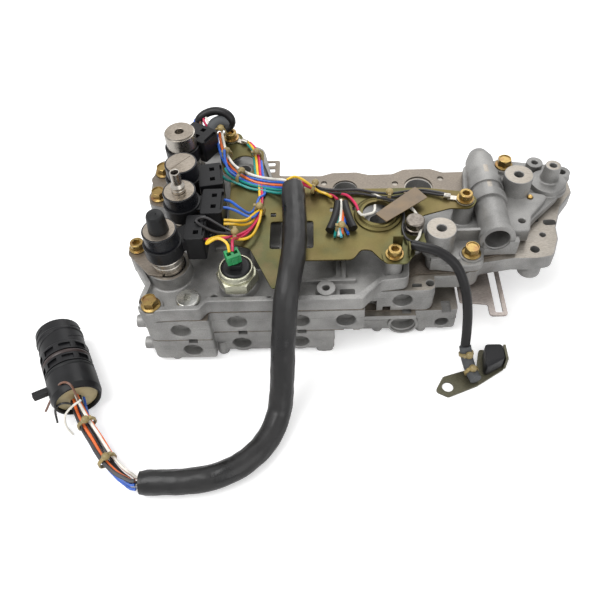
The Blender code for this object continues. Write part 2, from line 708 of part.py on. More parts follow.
def separator_outline():
    return rounded([
        (LEFT_X + 0.5 * MM, -46 * MM, 3 * MM), (COLUMN_X + 0.5 * MM, -52 * MM, 5 * MM),
        (COLUMN_X + 0.5 * MM, NOSE_Y + 0.5 * MM, 7 * MM), (NOSE_X - 0.5 * MM, NOSE_Y + 0.5 * MM, 2 * MM),
        (NOSE_X - 0.5 * MM, FRONT_Y + 0.5 * MM, 1 * MM), (MIDDLE_STEP_X - 0.5 * MM, FRONT_Y + 0.5 * MM, 2 * MM),
        (MIDDLE_STEP_X - 0.5 * MM, SET_BACK_Y + 0.5 * MM, 2 * MM), (*mm(66, -42.5), 4 * MM),
        (*mm(84, -28), 4 * MM), (*mm(132, -26), 6 * MM), (*mm(136, -14), 5 * MM),
        (*mm(162, -8), 6 * MM), (*mm(170, 14), 5 * MM), (*mm(196, 40), 8 * MM), (*mm(212, 58), 6 * MM),
        (*mm(210, 80), 8 * MM), (*mm(160, 90), 8 * MM), (*mm(134, 83), 6 * MM),
        (*mm(118, 83), 6 * MM), (*mm(108, 88), 8 * MM), (*mm(86, 88), 8 * MM), (*mm(76, 82.5), 8 * MM),
        (*mm(56, 82.5), 6 * MM), (*mm(46, 86), 8 * MM), (*mm(26, 86), 8 * MM), (*mm(16, 82.5), 8 * MM),
        (*mm(-19, 84), 2 * MM), (*mm(-19, 104), 2.5 * MM), (*mm(-33, 104), 2.5 * MM), (*mm(-34, 112), 6 * MM),
        (*mm(-62, 118), 12 * MM), (*mm(-104, 112), 10 * MM), (*mm(-127, 106), 9 * MM), (*mm(-126, 92), 5 * MM),
        (*mm(-129, 84), 5 * MM), (*mm(-125, 74), 5 * MM), (*mm(-128, 64), 6 * MM), (*mm(-126, 54), 6 * MM),
        (*mm(-101.5, 46), 8 * MM),
    ])


def build_upper_separator():
    holes = [circle(*mm(x, y, r)) for x, y, r in ((35.9, 66, 10.3), (96.4, 67, 11.6))]
    holes += [circle(*mm(x, y, r)) for x, y, r in ((77.5, 71, 2.6), (115.4, 75.5, 2.6), (18.5, 73.5, 2.6),
                                                       (-8.0, 76, 2.8))]
    holes += [rounded_box(*mm(-30, 97.0, -23, 101.5, 1.2)), rounded_box(*mm(-30, 89, -23, 93.5, 1.2))]
    holes += [circle(x, y, BOLT_R + BOLT_CLEAR) for x, y, _ in HEX_BOLTS.values()]
    holes += [circle(x, y, CASE_BOLT_R) for x, y in PADS.values()]
    mesh = flat_part(separator_outline(), UPPER_SEP_Z, UPPER_SEP_Z + SEPARATOR_T, holes)
    return machined("upper_separator_plate", mesh, plate_steel())


def left_deck_outline(inset=0.0):
    i = inset
    return rounded([
        (-114.5 * MM + i, -54 * MM, 5 * MM), (-114.5 * MM + i, NOSE_Y - 1.5 * MM + i, 7 * MM), (-90 * MM, NOSE_Y + i, 4 * MM),
        (-71 * MM, NOSE_Y + i, 4 * MM), (-66 * MM, FRONT_Y + i, 4 * MM), (44 * MM - i, FRONT_Y + i, 4 * MM),
        (58 * MM, -44 * MM + i, 6 * MM), (78 * MM - i, -42 * MM + i, 6 * MM), (79 * MM - i, -26 * MM, 5 * MM),
        (86 * MM - i, 0, 3 * MM), (86 * MM - i, 24 * MM - i, 4 * MM), (60 * MM, 44 * MM - i, 8 * MM),
        (18 * MM, 54 * MM - i, 8 * MM), (-22 * MM, 60 * MM - i, 8 * MM), (-32 * MM - i, 106 * MM - i, 12 * MM),
        (-62 * MM, 115 * MM - i, 12 * MM), (-98 * MM, 104 * MM - i, 12 * MM), (-110 * MM + i, 90 * MM, 8 * MM),
        (-109 * MM + i, 60 * MM, 8 * MM), (-105 * MM + i, 14 * MM, 8 * MM), (-122 * MM + i, -3 * MM, 7 * MM),
        (-129 * MM + i, -12 * MM, 7 * MM), (-122 * MM + i, -25 * MM, 7 * MM), (-112 * MM + i, -42 * MM, 5 * MM),
    ])


def build_upper_left():
    wall = 4.0 * MM
    base = flat_part(left_deck_outline(), UPPER_Z, RIM_TOP)
    hollow = flat_part(left_deck_outline(wall), DECK_TOP, RIM_TOP + 5 * MM)
    raised = []
    for x, y, _ in SOLENOIDS.values():
        raised.append(cylinder((x, y, UPPER_Z + 1 * MM), (x, y, COLLAR_TOP), COLLAR_R))
    x, y, seat = SOCKET_BOLTS["left_ear"]
    raised.append(cylinder((x, y, UPPER_Z), (x, y, seat - CLAMP_T - 2 * SEAT), BOSS_R - 1.2 * MM))
    x, y, seat = HEX_BOLTS["front_left"]
    raised.append(cylinder((x, y, UPPER_Z), (x, y, seat - SEAT), BOSS_R))
    for x, y in PLATE_POSTS:
        if x < 100 * MM:
            raised.append(cylinder((x, y, UPPER_Z + 1 * MM), (x, y, PLATE_Z - SEAT), POST_R))
    raised.append(cylinder((GALLERY_X, GALLERY_Y, UPPER_Z), (GALLERY_X, GALLERY_Y, GALLERY_TOP - 3 * MM),
                           GALLERY_R + 1.6 * MM, GALLERY_R))
    raised.append(cylinder((SWITCH_X, SWITCH_Y, UPPER_Z), (SWITCH_X, SWITCH_Y, SWITCH_SEAT - SEAT), 15.5 * MM,
                           14 * MM))
    raised.append(cylinder(mm(18.3, -50, 52.6), (*mm(18.3, -50), RIM_TOP + 1 * MM), 6.8 * MM))
    raised.append(cylinder((CHECK_X - 12 * MM, CHECK_Y, UPPER_Z), (CHECK_X - 12 * MM, CHECK_Y, DECK_TOP + 4 * MM),
                           7 * MM))
    raised.append(cylinder((CHECK_X, CHECK_Y, UPPER_Z), (CHECK_X, CHECK_Y, CHECK_SEAT - SEAT), 7.3 * MM))
    # Accumulator domes under the plate's round openings
    raised.append(cylinder((*mm(-45.5, 68), UPPER_Z), (*mm(-45.5, 68), PLATE_Z - 4 * MM), 14.5 * MM, 9 * MM))
    raised.append(cylinder((*mm(58, 8), UPPER_Z), (*mm(58, 8), PLATE_Z - 5 * MM), 15 * MM, 10 * MM))
    # Ribs across the deck
    for x0, y0, x1, y1 in ((-64, -8, 40, -5), (-64, 24, 40, 27), (-16, -42, -13, 40), (30, -40, 33, 40),
                           (-20, -42, 40, -39)):
        raised.append(block((*mm(x0, y0), UPPER_Z + 2 * MM), (*mm(x1, y1), RIM_TOP - 1.5 * MM)))
    cuts = []
    for x, y, _ in SOLENOIDS.values():
        cuts.append(cylinder((x, y, COLLAR_TOP - 10 * MM), (x, y, COLLAR_TOP + 20 * MM), clear_of(CAN_R)))
        cuts.append(cylinder((x, y, SOLENOID_FOOT - SEAT), (x, y, COLLAR_TOP), clear_of(SPIGOT_R)))
    for name in ("left_ear", "plate_back", "plate_front"):
        x, y, seat = SOCKET_BOLTS[name]
        cuts.append(cylinder((x, y, seat - BOLT_SHANK - 1 * MM), (x, y, seat + 5 * MM), BOLT_R + BOLT_CLEAR))
    x, y, seat = HEX_BOLTS["front_left"]
    cuts.append(cylinder((x, y, UPPER_Z - 1 * MM), (x, y, seat + 5 * MM), BOLT_R + BOLT_CLEAR))
    cuts.append(cylinder((x, y, seat - SEAT), (x, y, RIM_TOP + 2 * MM), BOSS_R))
    cuts.append(cylinder((GALLERY_X, GALLERY_Y, GALLERY_TOP - 9 * MM), (GALLERY_X, GALLERY_Y, GALLERY_TOP + 5 * MM),
                         clear_of(GALLERY_THREAD_R)))
    cuts.append(cylinder((SWITCH_X, SWITCH_Y, SWITCH_SEAT - 11 * MM), (SWITCH_X, SWITCH_Y, SWITCH_SEAT + 5 * MM),
                         clear_of(SWITCH_THREAD_R)))
    cuts.append(cylinder((CHECK_X, CHECK_Y, CHECK_SEAT - 9 * MM), (CHECK_X, CHECK_Y, CHECK_SEAT + 5 * MM),
                         clear_of(CHECK_THREAD_R)))
    cuts.append(cylinder(mm(18.3, -50, 58), mm(18.3, -50, 80), 2.6 * MM))
    cuts.append(cylinder(mm(-45.5, 68, 60), mm(-45.5, 68, 90), 5.2 * MM))
    cuts.append(cylinder(mm(58, 8, 60), mm(58, 8, 90), 6.0 * MM))
    # Open gallery in the deck seen through the plate's square opening, and the window by the front rim
    cuts.append(flat_part(rounded_box(*mm(-10, -36, 26, -12, 4)), UPPER_Z + 3 * MM, RIM_TOP + 5 * MM))
    cuts.append(flat_part(rounded_box(*mm(28, -52.5, 39, -47, 1.5)), UPPER_Z + 2 * MM, RIM_TOP + 5 * MM))
    cuts.append(cylinder(mm(-62, -52, 56), mm(-62, -52, 80), 2.6 * MM))
    cuts.append(cylinder(mm(-22, -54.5, 56), mm(-22, -54.5, 80), 2.6 * MM))
    mesh = combined(base, ("DIFFERENCE", [hollow]), ("UNION", raised), ("DIFFERENCE", cuts))
    return solid("upper_body_left", mesh, cast_aluminium())


def right_deck_outline():
    return rounded([
        (*mm(93, -24), 6 * MM), (*mm(118, -28), 6 * MM), (*mm(134, -26), 7 * MM), (*mm(136, -12), 3 * MM),
        (*mm(160, -10), 5 * MM), (*mm(168, 6), 5 * MM), (*mm(182, 22), 6 * MM), (*mm(202, 42), 7 * MM),
        (*mm(214, 60), 7 * MM), (*mm(210, 80), 9 * MM), (*mm(186, 84), 7 * MM), (*mm(176, 86), 7 * MM),
        (*mm(158, 88), 7 * MM), (*mm(134, 82), 6 * MM), (*mm(130, 50), 6 * MM), (*mm(112, 44), 5 * MM),
        (*mm(112, 32), 5 * MM), (*mm(93, 26), 5 * MM),
    ])


def build_upper_right():
    base = flat_part(right_deck_outline(), UPPER_Z, UPPER_Z + 7 * MM)
    joined = []
    axis = (CYL_X, CYL_Z)
    stations = ((CYL_FRONT, CYL_FRONT + 5 * MM, CYL_R + 1.2 * MM), (CYL_FRONT + 4 * MM, 26 * MM, CYL_R - 0.4 * MM),
                (25 * MM, 33 * MM, CYL_R + 1.6 * MM), (32 * MM, 42 * MM, CYL_R), (41 * MM, 50 * MM, CYL_R + 1.4 * MM),
                (49 * MM, 60 * MM, CYL_R + 0.2 * MM), (59 * MM, CYL_BACK - 9 * MM, CYL_R - 1 * MM))
    for y0, y1, r in stations:
        joined.append(cylinder((axis[0], y0, axis[1]), (axis[0], y1, axis[1]), r))
    joined.append(cylinder((axis[0], CYL_BACK - 9.5 * MM, axis[1]), (axis[0], CYL_BACK, axis[1]), CYL_R - 1 * MM,
                           CYL_R - 5 * MM))
    # Web that carries the cylinder down to the deck, and the flange at its mouth
    joined.append(block((CYL_X - 9 * MM, CYL_FRONT + 0.5 * MM, UPPER_Z + 1 * MM),
                        (CYL_X + 9 * MM, CYL_BACK - 4 * MM, CYL_Z)))
    joined.append(flat_part(rounded_box(*mm(134.5, -11, 162, -5, 2)), UPPER_Z, CYL_Z - 2 * MM))
    for x, y in PADS.values():
        joined.append(cylinder((x, y, UPPER_Z + 1 * MM), (x, y, PAD_TOP), PAD_R))
    for name in ("front_right", "back_right"):
        x, y, seat = HEX_BOLTS[name]
        joined.append(cylinder((x, y, UPPER_Z), (x, y, seat - SEAT), BOSS_R))
    x, y, _ = SOCKET_BOLTS["plate_right"]
    joined.append(cylinder((x, y, UPPER_Z), (x, y, PLATE_Z - SEAT), POST_R + 1.2 * MM))
    # Tube boss on its round step, with two ears behind it
    joined.append(cylinder((*mm(197, 56), UPPER_Z), (*mm(197, 56), UPPER_Z + 12 * MM), 14 * MM))
    joined.append(cylinder((*mm(198, 58), UPPER_Z), (*mm(198, 58), UPPER_Z + 26 * MM), 6.8 * MM, 6.0 * MM))
    joined.append(cylinder((*mm(190, 76), UPPER_Z), (*mm(190, 76), UPPER_Z + 14 * MM), 6.5 * MM))
    joined.append(cylinder((*mm(210, 66), UPPER_Z), (*mm(210, 66), UPPER_Z + 12 * MM), 6.5 * MM))
    # Flat web right of the cylinder, with the pin and the tapped hole
    joined.append(flat_part(rounded([(*mm(154, 2), 3 * MM), (*mm(172, 2), 3 * MM), (*mm(176, 18), 6 * MM),
                                     (*mm(194, 40), 4 * MM), (*mm(180, 44), 6 * MM), (*mm(154, 44), 3 * MM)]),
                            UPPER_Z, UPPER_Z + 11.5 * MM))
    # Stiffening ribs between the front pad and the cylinder
    joined.append(block((*mm(108, -2.2), UPPER_Z), (*mm(136, 0.8), UPPER_Z + 18 * MM)))
    joined.append(block((*mm(95, -25), UPPER_Z), (*mm(117, -22), UPPER_Z + 12 * MM)))
    joined.append(block((*mm(112, 40), UPPER_Z), (*mm(136, 43), UPPER_Z + 15 * MM)))
    cuts = [cylinder((axis[0], CYL_FRONT - 5 * MM, axis[1]), (axis[0], CYL_FRONT + CYL_BORE_DEPTH, axis[1]),
                     CYL_BORE_R)]
    for x, y in PADS.values():
        cuts.append(cylinder((x, y, UPPER_Z - 1 * MM), (x, y, PAD_TOP + 5 * MM), CASE_BOLT_R))
    for name in ("front_right", "back_right"):
        x, y, seat = HEX_BOLTS[name]
        cuts.append(cylinder((x, y, UPPER_Z - 1 * MM), (x, y, seat + 5 * MM), BOLT_R + BOLT_CLEAR))
    x, y, seat = SOCKET_BOLTS["plate_right"]
    cuts.append(cylinder((x, y, seat - BOLT_SHANK - 1 * MM), (x, y, seat + 5 * MM), BOLT_R + BOLT_CLEAR))
    cuts.append(cylinder((*mm(198, 58), UPPER_Z + 8 * MM), (*mm(198, 58), UPPER_Z + 40 * MM), 2.8 * MM))
    cuts.append(cylinder((*mm(210, 66), UPPER_Z + 4 * MM), (*mm(210, 66), UPPER_Z + 40 * MM), 3.0 * MM))
    cuts.append(cylinder((*mm(190, 76), UPPER_Z + 6 * MM), (*mm(190, 76), UPPER_Z + 40 * MM), 2.6 * MM))
    cuts.append(cylinder((*mm(168, 13), UPPER_Z + 4 * MM), (*mm(168, 13), UPPER_Z + 40 * MM), 2.8 * MM))
    cuts.append(cylinder((PIN_X, PIN_Y, PIN_FOOT - SEAT), (PIN_X, PIN_Y, PIN_TOP + 10 * MM), clear_of(PIN_R)))
    return machined("upper_body_right", base, cast_aluminium(), joined, cuts)


PIN_X, PIN_Y = mm(179.0, 38.0)
PIN_R = 2.0 * MM
PIN_FOOT = UPPER_Z + 5 * MM
PIN_TOP = UPPER_Z + 13 * MM


def case_bolt_holes(z0, z1):
    """Clearance cutters where the case bolts pass."""
    return [cylinder((x, y, z0), (x, y, z1), CASE_BOLT_R) for x, y in PADS.values()]


# Wiring plate and what it carries

DISH_X, DISH_Y = mm(58.0, 8.0)
DISH_R = 13.0 * MM


def build_wiring_plate():
    outline = rounded([
        (*mm(-18.5, -61), 3 * MM), (*mm(-14, -58), 3 * MM), (*mm(0, -35.5), 3 * MM), (*mm(38, -35.5), 7 * MM),
        (*mm(44, -26), 5 * MM), (*mm(51, -27), 4 * MM), (*mm(58, -37), 5 * MM), (*mm(76, -41), 7 * MM),
        (*mm(80, -30), 6 * MM), (*mm(91, -22), 4 * MM), (*mm(90, -16), 3 * MM), (*mm(90.5, 6), 3 * MM),
        (*mm(112, 13), 6 * MM), (*mm(128, 12), 8 * MM), (*mm(134, 22), 7 * MM), (*mm(128, 30), 7 * MM),
        (*mm(94, 36), 5 * MM), (*mm(20, 37), 5 * MM), (*mm(-10, 42), 6 * MM), (*mm(-29, 53), 5 * MM),
        (*mm(-30, 84), 6 * MM), (*mm(-46, 97), 8 * MM), (*mm(-51, 109), 7 * MM), (*mm(-66, 109), 7 * MM),
        (*mm(-68, 92), 6 * MM), (*mm(-62, 60), 6 * MM), (*mm(-55, 56), 4 * MM), (*mm(-53, 0), 6 * MM),
        (*mm(-52, -17), 5 * MM), (*mm(-36, -23), 5 * MM),
    ])
    holes = [rounded_box(*mm(-21.7, -24, 10, 3.5, 2.5)), circle(*mm(-45.5, 69, 10.6)),
             circle(DISH_X, DISH_Y, DISH_R)]
    for x, y in (mm(-20.0, 10.5), mm(24.5, 14.6), mm(41.4, 15.2)):
        holes.append(rounded_box(x - 2 * MM, y - 2 * MM, x + 2 * MM, y + 2 * MM, 0.4 * MM))
    for name in ("plate_back", "plate_right", "plate_front"):
        x, y, _ = SOCKET_BOLTS[name]
        holes.append(circle(x, y, BOLT_R + BOLT_CLEAR))
    sheet = flat_part(outline, PLATE_Z, PLATE_TOP, holes)
    notch = cylinder((CHECK_X, CHECK_Y, PLATE_Z - 1 * MM), (CHECK_X, CHECK_Y, PLATE_TOP + 1 * MM), CHECK_R + 1.2 * MM)
    return machined("wiring_plate", sheet, yellow_zinc(), [pressed_ring()], [notch])


def pressed_ring():
    """Ring with concentric steps, pressed up round the plate's large opening."""
    low = -0.6 * MM
    profile = [(DISH_R - 1.6 * MM, 2.6 * MM), (DISH_R + 0.6 * MM, 2.6 * MM), (DISH_R + 1.4 * MM, 1.4 * MM),
               (DISH_R + 2.6 * MM, 2.0 * MM), (DISH_R + 4.6 * MM, 1.2 * MM), (DISH_R + 5.2 * MM, low),
               (DISH_R - 1.6 * MM, low), (DISH_R - 1.6 * MM, 2.6 * MM)]
    return moved(turned(profile), (DISH_X, DISH_Y, PLATE_TOP))


def build_wire_shield():
    z = PLATE_TOP + 6.0 * MM
    top = flat_part(rounded([(*mm(87, 30), 0.6 * MM), (*mm(55.5, 2.5), 0.6 * MM), (*mm(63, -6), 0.6 * MM),
                             (*mm(95, 18), 0.6 * MM)]), z, z + 0.9 * MM)
    leg = block((*mm(78.0, 23.5), PLATE_TOP + SEAT), (*mm(84.0, 24.6), z + 0.5 * MM))
    return machined("wire_shield", top, material("bronze_film", (0.16, 0.11, 0.06), 0.5, 0.5), [leg])


def build_wire_clip():
    """Pressed clip under the front plate bolt, with two folded leaves."""
    x, y, _ = SOCKET_BOLTS["plate_front"]
    z = PLATE_TOP + SEAT
    base = flat_part(rounded([(x - 8 * MM, y - 8 * MM, 5 * MM), (x + 8 * MM, y - 9 * MM, 5 * MM),
                              (x + 15 * MM, y + 1 * MM, 4 * MM), (x + 12 * MM, y + 8 * MM, 3 * MM),
                              (x - 2 * MM, y + 9 * MM, 3 * MM), (x - 9 * MM, y + 3 * MM, 4 * MM)]),
                     z, z + RING_T, [circle(x, y, BOLT_R + BOLT_CLEAR)])
    leaf_a = block((x + 9.5 * MM, y - 3 * MM, z + 0.2 * MM), (x + 10.7 * MM, y + 5 * MM, z + 9 * MM))
    leaf_b = block((x - 1 * MM, y + 6.8 * MM, z + 0.2 * MM), (x + 6 * MM, y + 8 * MM, z + 12 * MM))
    return machined("wire_clip", base, yellow_zinc(), [leaf_a, leaf_b])


# Solenoids

def solenoid_profile(top, foot, face_r):
    """Stepped can from its top face down to its spigot."""
    seat = COLLAR_TOP - 9.4 * MM
    return [(0.0, top), (face_r, top), (face_r, top - 1.2 * MM), (CAN_R, top - 1.2 * MM),
            (CAN_R, top - 13 * MM), (BAND_R, top - 13.6 * MM), (BAND_R, COLLAR_TOP + 11.0 * MM),
            (BAND_R - 0.7 * MM, COLLAR_TOP + 10.4 * MM), (BAND_R, COLLAR_TOP + 9.8 * MM),
            (BAND_R, COLLAR_TOP + CLAMP_T + 3 * SEAT), (GROOVE_R, COLLAR_TOP + CLAMP_T + 3 * SEAT),
            (GROOVE_R, COLLAR_TOP - SEAT), (BAND_R, COLLAR_TOP - SEAT), (BAND_R, seat), (SPIGOT_R, seat),
            (SPIGOT_R, foot), (0.0, foot)]


def build_solenoids():
    steel = turned_steel()
    for number, (x, y, top) in SOLENOIDS.items():
        profile = solenoid_profile(top, SOLENOID_FOOT, CAN_R - 1.0 * MM)
        body = moved(turned(profile), (x, y, 0))
        cuts = []
        if number == 4:
            cuts.append(cylinder((x, y, top - 8 * MM), (x, y, top + 5 * MM), 3.4 * MM))
        if number in (1, 2):
            cuts.append(cylinder((x, y, top - STUB_DEPTH - SEAT), (x, y, top + 5 * MM), clear_of(STUB_R)))
        machined(f"solenoid_{number}", body, steel, (), cuts)
    x, y, top = SOLENOIDS[1]
    nose = turned([(0.0, 15.0 * MM), (2.0 * MM, 15.0 * MM), (5.6 * MM, 14.4 * MM), (6.0 * MM, 13.6 * MM),
                   (7.2 * MM, 0.0), (STUB_R, 0.0), (STUB_R, -STUB_DEPTH), (0.0, -STUB_DEPTH)])
    solid("solenoid_1_nose", moved(nose, (x, y, top + SEAT)), black_rubber())
    x, y, top = SOLENOIDS[2]
    spout = turned([(0.0, 17.0 * MM), (3.6 * MM, 17.0 * MM), (3.6 * MM, 5.6 * MM), (5.2 * MM, 5.2 * MM),
                    (5.2 * MM, 0.0), (STUB_R, 0.0), (STUB_R, -STUB_DEPTH), (0.0, -STUB_DEPTH)])
    spout = combined(spout, ("DIFFERENCE", [cylinder((0, 0, 6 * MM), (0, 0, 20 * MM), 2.3 * MM)]))
    solid("solenoid_2_spout", moved(spout, (x, y, top + SEAT)), steel)


# Connector housings: solenoid, x and y of the block's centre, width, depth, turn in degrees,
# how far its top and its foot lie above the usual ones
CONNECTORS = (
    (1, -73.5, -17.0, 14.0, 24.0, 0.0, 0.0, 0.0),
    (2, -63.5, 9.0, 16.0, 26.0, 0.0, 0.0, 0.0),
    (3, -67.5, 38.0, 18.0, 25.0, 8.0, 0.0, 0.0),
    (4, -81.0, 85.0, 24.0, 19.0, -32.0, 3.0, 5.0),
)


def build_connectors():
    """Moulded housings that clasp each can, with a block for the terminals."""
    for number, cx, cy, width, depth, turn, lift, foot in CONNECTORS:
        x, y, top = SOLENOIDS[number]
        z0, z1 = CLASP_Z, CLASP_Z + CLASP_H
        spin = radians(turn)
        centre = Vector((cx * MM, cy * MM, 0))
        outline = [centre + Matrix.Rotation(spin, 3, "Z") @ Vector((sx * width / 2 * MM, sy * depth / 2 * MM, 0))
                   for sx, sy in ((-1, -1), (1, -1), (1, 1), (-1, 1))]
        ring = [(p.x, p.y, 2.0 * MM) for p in outline]
        case = flat_part(rounded(ring), COLLAR_TOP + (3 + foot) * MM, z1 + lift * MM)
        reach = (centre - Vector((x, y, 0)))
        side = Vector((-reach.y, reach.x, 0)).normalized() * 7.5 * MM
        arm = [Vector((x, y, 0)) + side, Vector((x, y, 0)) - side, centre - side, centre + side]
        web = flat_part([(p.x, p.y) for p in arm], z0, z1 - 1.5 * MM)
        clasp = cylinder((x, y, z0), (x, y, z1), CLASP_R)
        machined(f"solenoid_connector_{number}", case, black_plastic(), [web, clasp],
                 connector_cuts(centre, spin, width, depth, z1 + lift * MM, x, y))


def connector_cuts(centre, spin, width, depth, top, x, y):
    """Can bore, latch windows in the top and a step along the outer edge."""
    cuts = [cylinder((x, y, COLLAR_TOP - 5 * MM), (x, y, top + 10 * MM), clear_of(CAN_R))]
    turn = Matrix.Rotation(spin, 3, "Z")
    for shift in (-0.22, 0.22):
        mid = centre + turn @ Vector((width * 0.08 * MM, shift * depth * MM, 0))
        cuts.append(block((mid.x - 1.9 * MM, mid.y - 1.9 * MM, top - 3 * MM), (mid.x + 1.9 * MM, mid.y + 1.9 * MM,
                                                                             top + 2 * MM)))
    return cuts


def build_clamp():
    """Forked sheet clamp that grips the first can by its groove, under the ear bolt."""
    x, y, _ = SOCKET_BOLTS["left_ear"]
    cx, cy, _ = SOLENOIDS[1]
    z0 = COLLAR_TOP + SEAT
    strap = flat_part(rounded([(x - 6.5 * MM, y + 6 * MM, 5 * MM), (x - 6.5 * MM, y - 6 * MM, 5 * MM),
                               (cx - 13 * MM, cy - 11 * MM, 3 * MM), (cx - 3 * MM, cy - 13 * MM, 2 * MM),
                               (cx + 7 * MM, cy + 13 * MM, 2 * MM), (x + 7 * MM, y + 8 * MM, 5 * MM)]),
                      z0, z0 + CLAMP_T, [circle(x, y, BOLT_R + BOLT_CLEAR)])
    grip = cylinder((cx, cy, z0 - 5 * MM), (cx, cy, z0 + 5 * MM), clear_of(GROOVE_R))
    return machined("solenoid_clamp", strap, plate_steel(), (), [grip])


# Plugs, switch and fasteners

def hexagon(af):
    r = af / 2 / cos(radians(30))
    return [(r * cos(radians(60 * i)), r * sin(radians(60 * i))) for i in range(6)]


def build_switch():
    steel = material("zinc_steel", (0.45, 0.45, 0.36), 0.9, 0.35)
    base = flat_part(hexagon(SWITCH_AF), 0.0, SWITCH_HEX_H)
    joined = [turned([(0.0, 14.6 * MM), (SWITCH_RIM_R - 1.2 * MM, 14.6 * MM), (SWITCH_RIM_R, 13.6 * MM),
                      (SWITCH_RIM_R, 11.2 * MM), (SWITCH_RIM_R - 0.6 * MM, 10.6 * MM),
                      (SWITCH_RIM_R, 10.0 * MM), (SWITCH_RIM_R, 6.0 * MM), (0.0, 6.0 * MM)]),
              cylinder((0, 0, -10 * MM), (0, 0, 3 * MM), SWITCH_THREAD_R)]
    cuts = [cylinder((0, 0, 11.5 * MM), (0, 0, 20 * MM), SWITCH_RIM_R - 1.8 * MM)]
    body = machined("pressure_switch", base, steel, joined, cuts)
    body.location = (SWITCH_X, SWITCH_Y, SWITCH_SEAT)
    z = SWITCH_SEAT + 11.5 * MM + SEAT
    r = SWITCH_RIM_R - 1.8 * MM - SEAT
    dome = turned([(0.0, 3.2 * MM), (r - 1.4 * MM, 3.2 * MM), (r, 2.2 * MM), (r, 0.0), (0.0, 0.0)])
    key = block((-3.6 * MM, -4.6 * MM, 2 * MM), (4.6 * MM, 3.0 * MM, 8.0 * MM))
    made = machined("switch_insulator", dome, black_plastic(), [key])
    made.location = (SWITCH_X, SWITCH_Y, z)
    plug_z = z + 8.0 * MM + SEAT
    plug = block((-5.0 * MM, -4.2 * MM, 0), (5.0 * MM, 4.2 * MM, 7.5 * MM))
    cuts = [block((sx * 2.4 * MM - 1.5 * MM, -1.6 * MM, 2.5 * MM), (sx * 2.4 * MM + 1.5 * MM, 1.6 * MM, 9 * MM))
            for sx in (-1, 1)]
    made = machined("switch_plug", plug, material("green_plastic", (0.03, 0.27, 0.09), 0.0, 0.45), (), cuts)
    made.location = (SWITCH_X - 1.0 * MM, SWITCH_Y + 1.0 * MM, plug_z)
    made.rotation_euler.z = radians(24)


def build_plugs():
    bright = material("bright_aluminium", (0.55, 0.54, 0.52), 1.0, 0.3)
    body = turned([(0.0, 0.0), (GALLERY_R - 1 * MM, 0.0), (GALLERY_R, -1 * MM), (GALLERY_R, -2.7 * MM),
                   (GALLERY_THREAD_R, -2.7 * MM), (GALLERY_THREAD_R, -8.7 * MM), (0.0, -8.7 * MM)])
    slot = block(mm(-2.4, -3.6, -5.0), mm(2.4, 3.6, 2.0))
    made = machined("gallery_plug", body, bright, (), [slot])
    made.location = (GALLERY_X, GALLERY_Y, GALLERY_TOP)
    body = turned([(0.0, CHECK_TOP), (CHECK_R - 0.8 * MM, CHECK_TOP), (CHECK_R, CHECK_TOP - 0.8 * MM),
                   (CHECK_R, CHECK_TOP - 4.5 * MM), (CHECK_R - 0.9 * MM, CHECK_TOP - 5.0 * MM),
                   (CHECK_R - 0.9 * MM, CHECK_TOP - 6.4 * MM), (CHECK_R, CHECK_TOP - 7.0 * MM),
                   (CHECK_R, CHECK_SEAT), (CHECK_THREAD_R, CHECK_SEAT), (CHECK_THREAD_R, CHECK_SEAT - 8.5 * MM),
                   (0.0, CHECK_SEAT - 8.5 * MM)])
    solid("check_plug", moved(body, (CHECK_X, CHECK_Y, 0)), turned_steel())
    pin = turned([(0.0, PIN_TOP), (PIN_R - 0.4 * MM, PIN_TOP), (PIN_R, PIN_TOP - 0.4 * MM), (PIN_R, PIN_FOOT),
                  (0.0, PIN_FOOT)])
    solid("locating_pin", moved(pin, (PIN_X, PIN_Y, 0)), material("brass", (0.5, 0.3, 0.1), 1.0, 0.3))


def hex_bolt():
    """Flanged hex bolt, its seat at z = 0."""
    head = flat_part(hexagon(HEX_AF), FLANGE_T / 2, FLANGE_T + HEX_H)
    rim = turned([(0.0, FLANGE_T), (HEX_AF / 2, FLANGE_T), (FLANGE_R, 0.7 * MM), (FLANGE_R, 0.0),
                  (BOLT_R, 0.0), (BOLT_R, -BOLT_SHANK), (0.0, -BOLT_SHANK)])
    return combined(head, ("UNION", [rim]))


def socket_bolt():
    """Socket head bolt, its seat at z = 0."""
    body = turned([(0.0, SOCKET_HEAD_H), (SOCKET_HEAD_R - 0.5 * MM, SOCKET_HEAD_H),
                   (SOCKET_HEAD_R, SOCKET_HEAD_H - 0.5 * MM), (SOCKET_HEAD_R, 1.0 * MM),
                   (FLANGE_R - 0.6 * MM, 0.8 * MM), (FLANGE_R - 0.6 * MM, 0.0), (BOLT_R, 0.0),
                   (BOLT_R, -BOLT_SHANK), (0.0, -BOLT_SHANK)])
    socket = flat_part(hexagon(SOCKET_AF), SOCKET_HEAD_H - SOCKET_DEPTH, SOCKET_HEAD_H + 5 * MM)
    return combined(body, ("DIFFERENCE", [socket]))


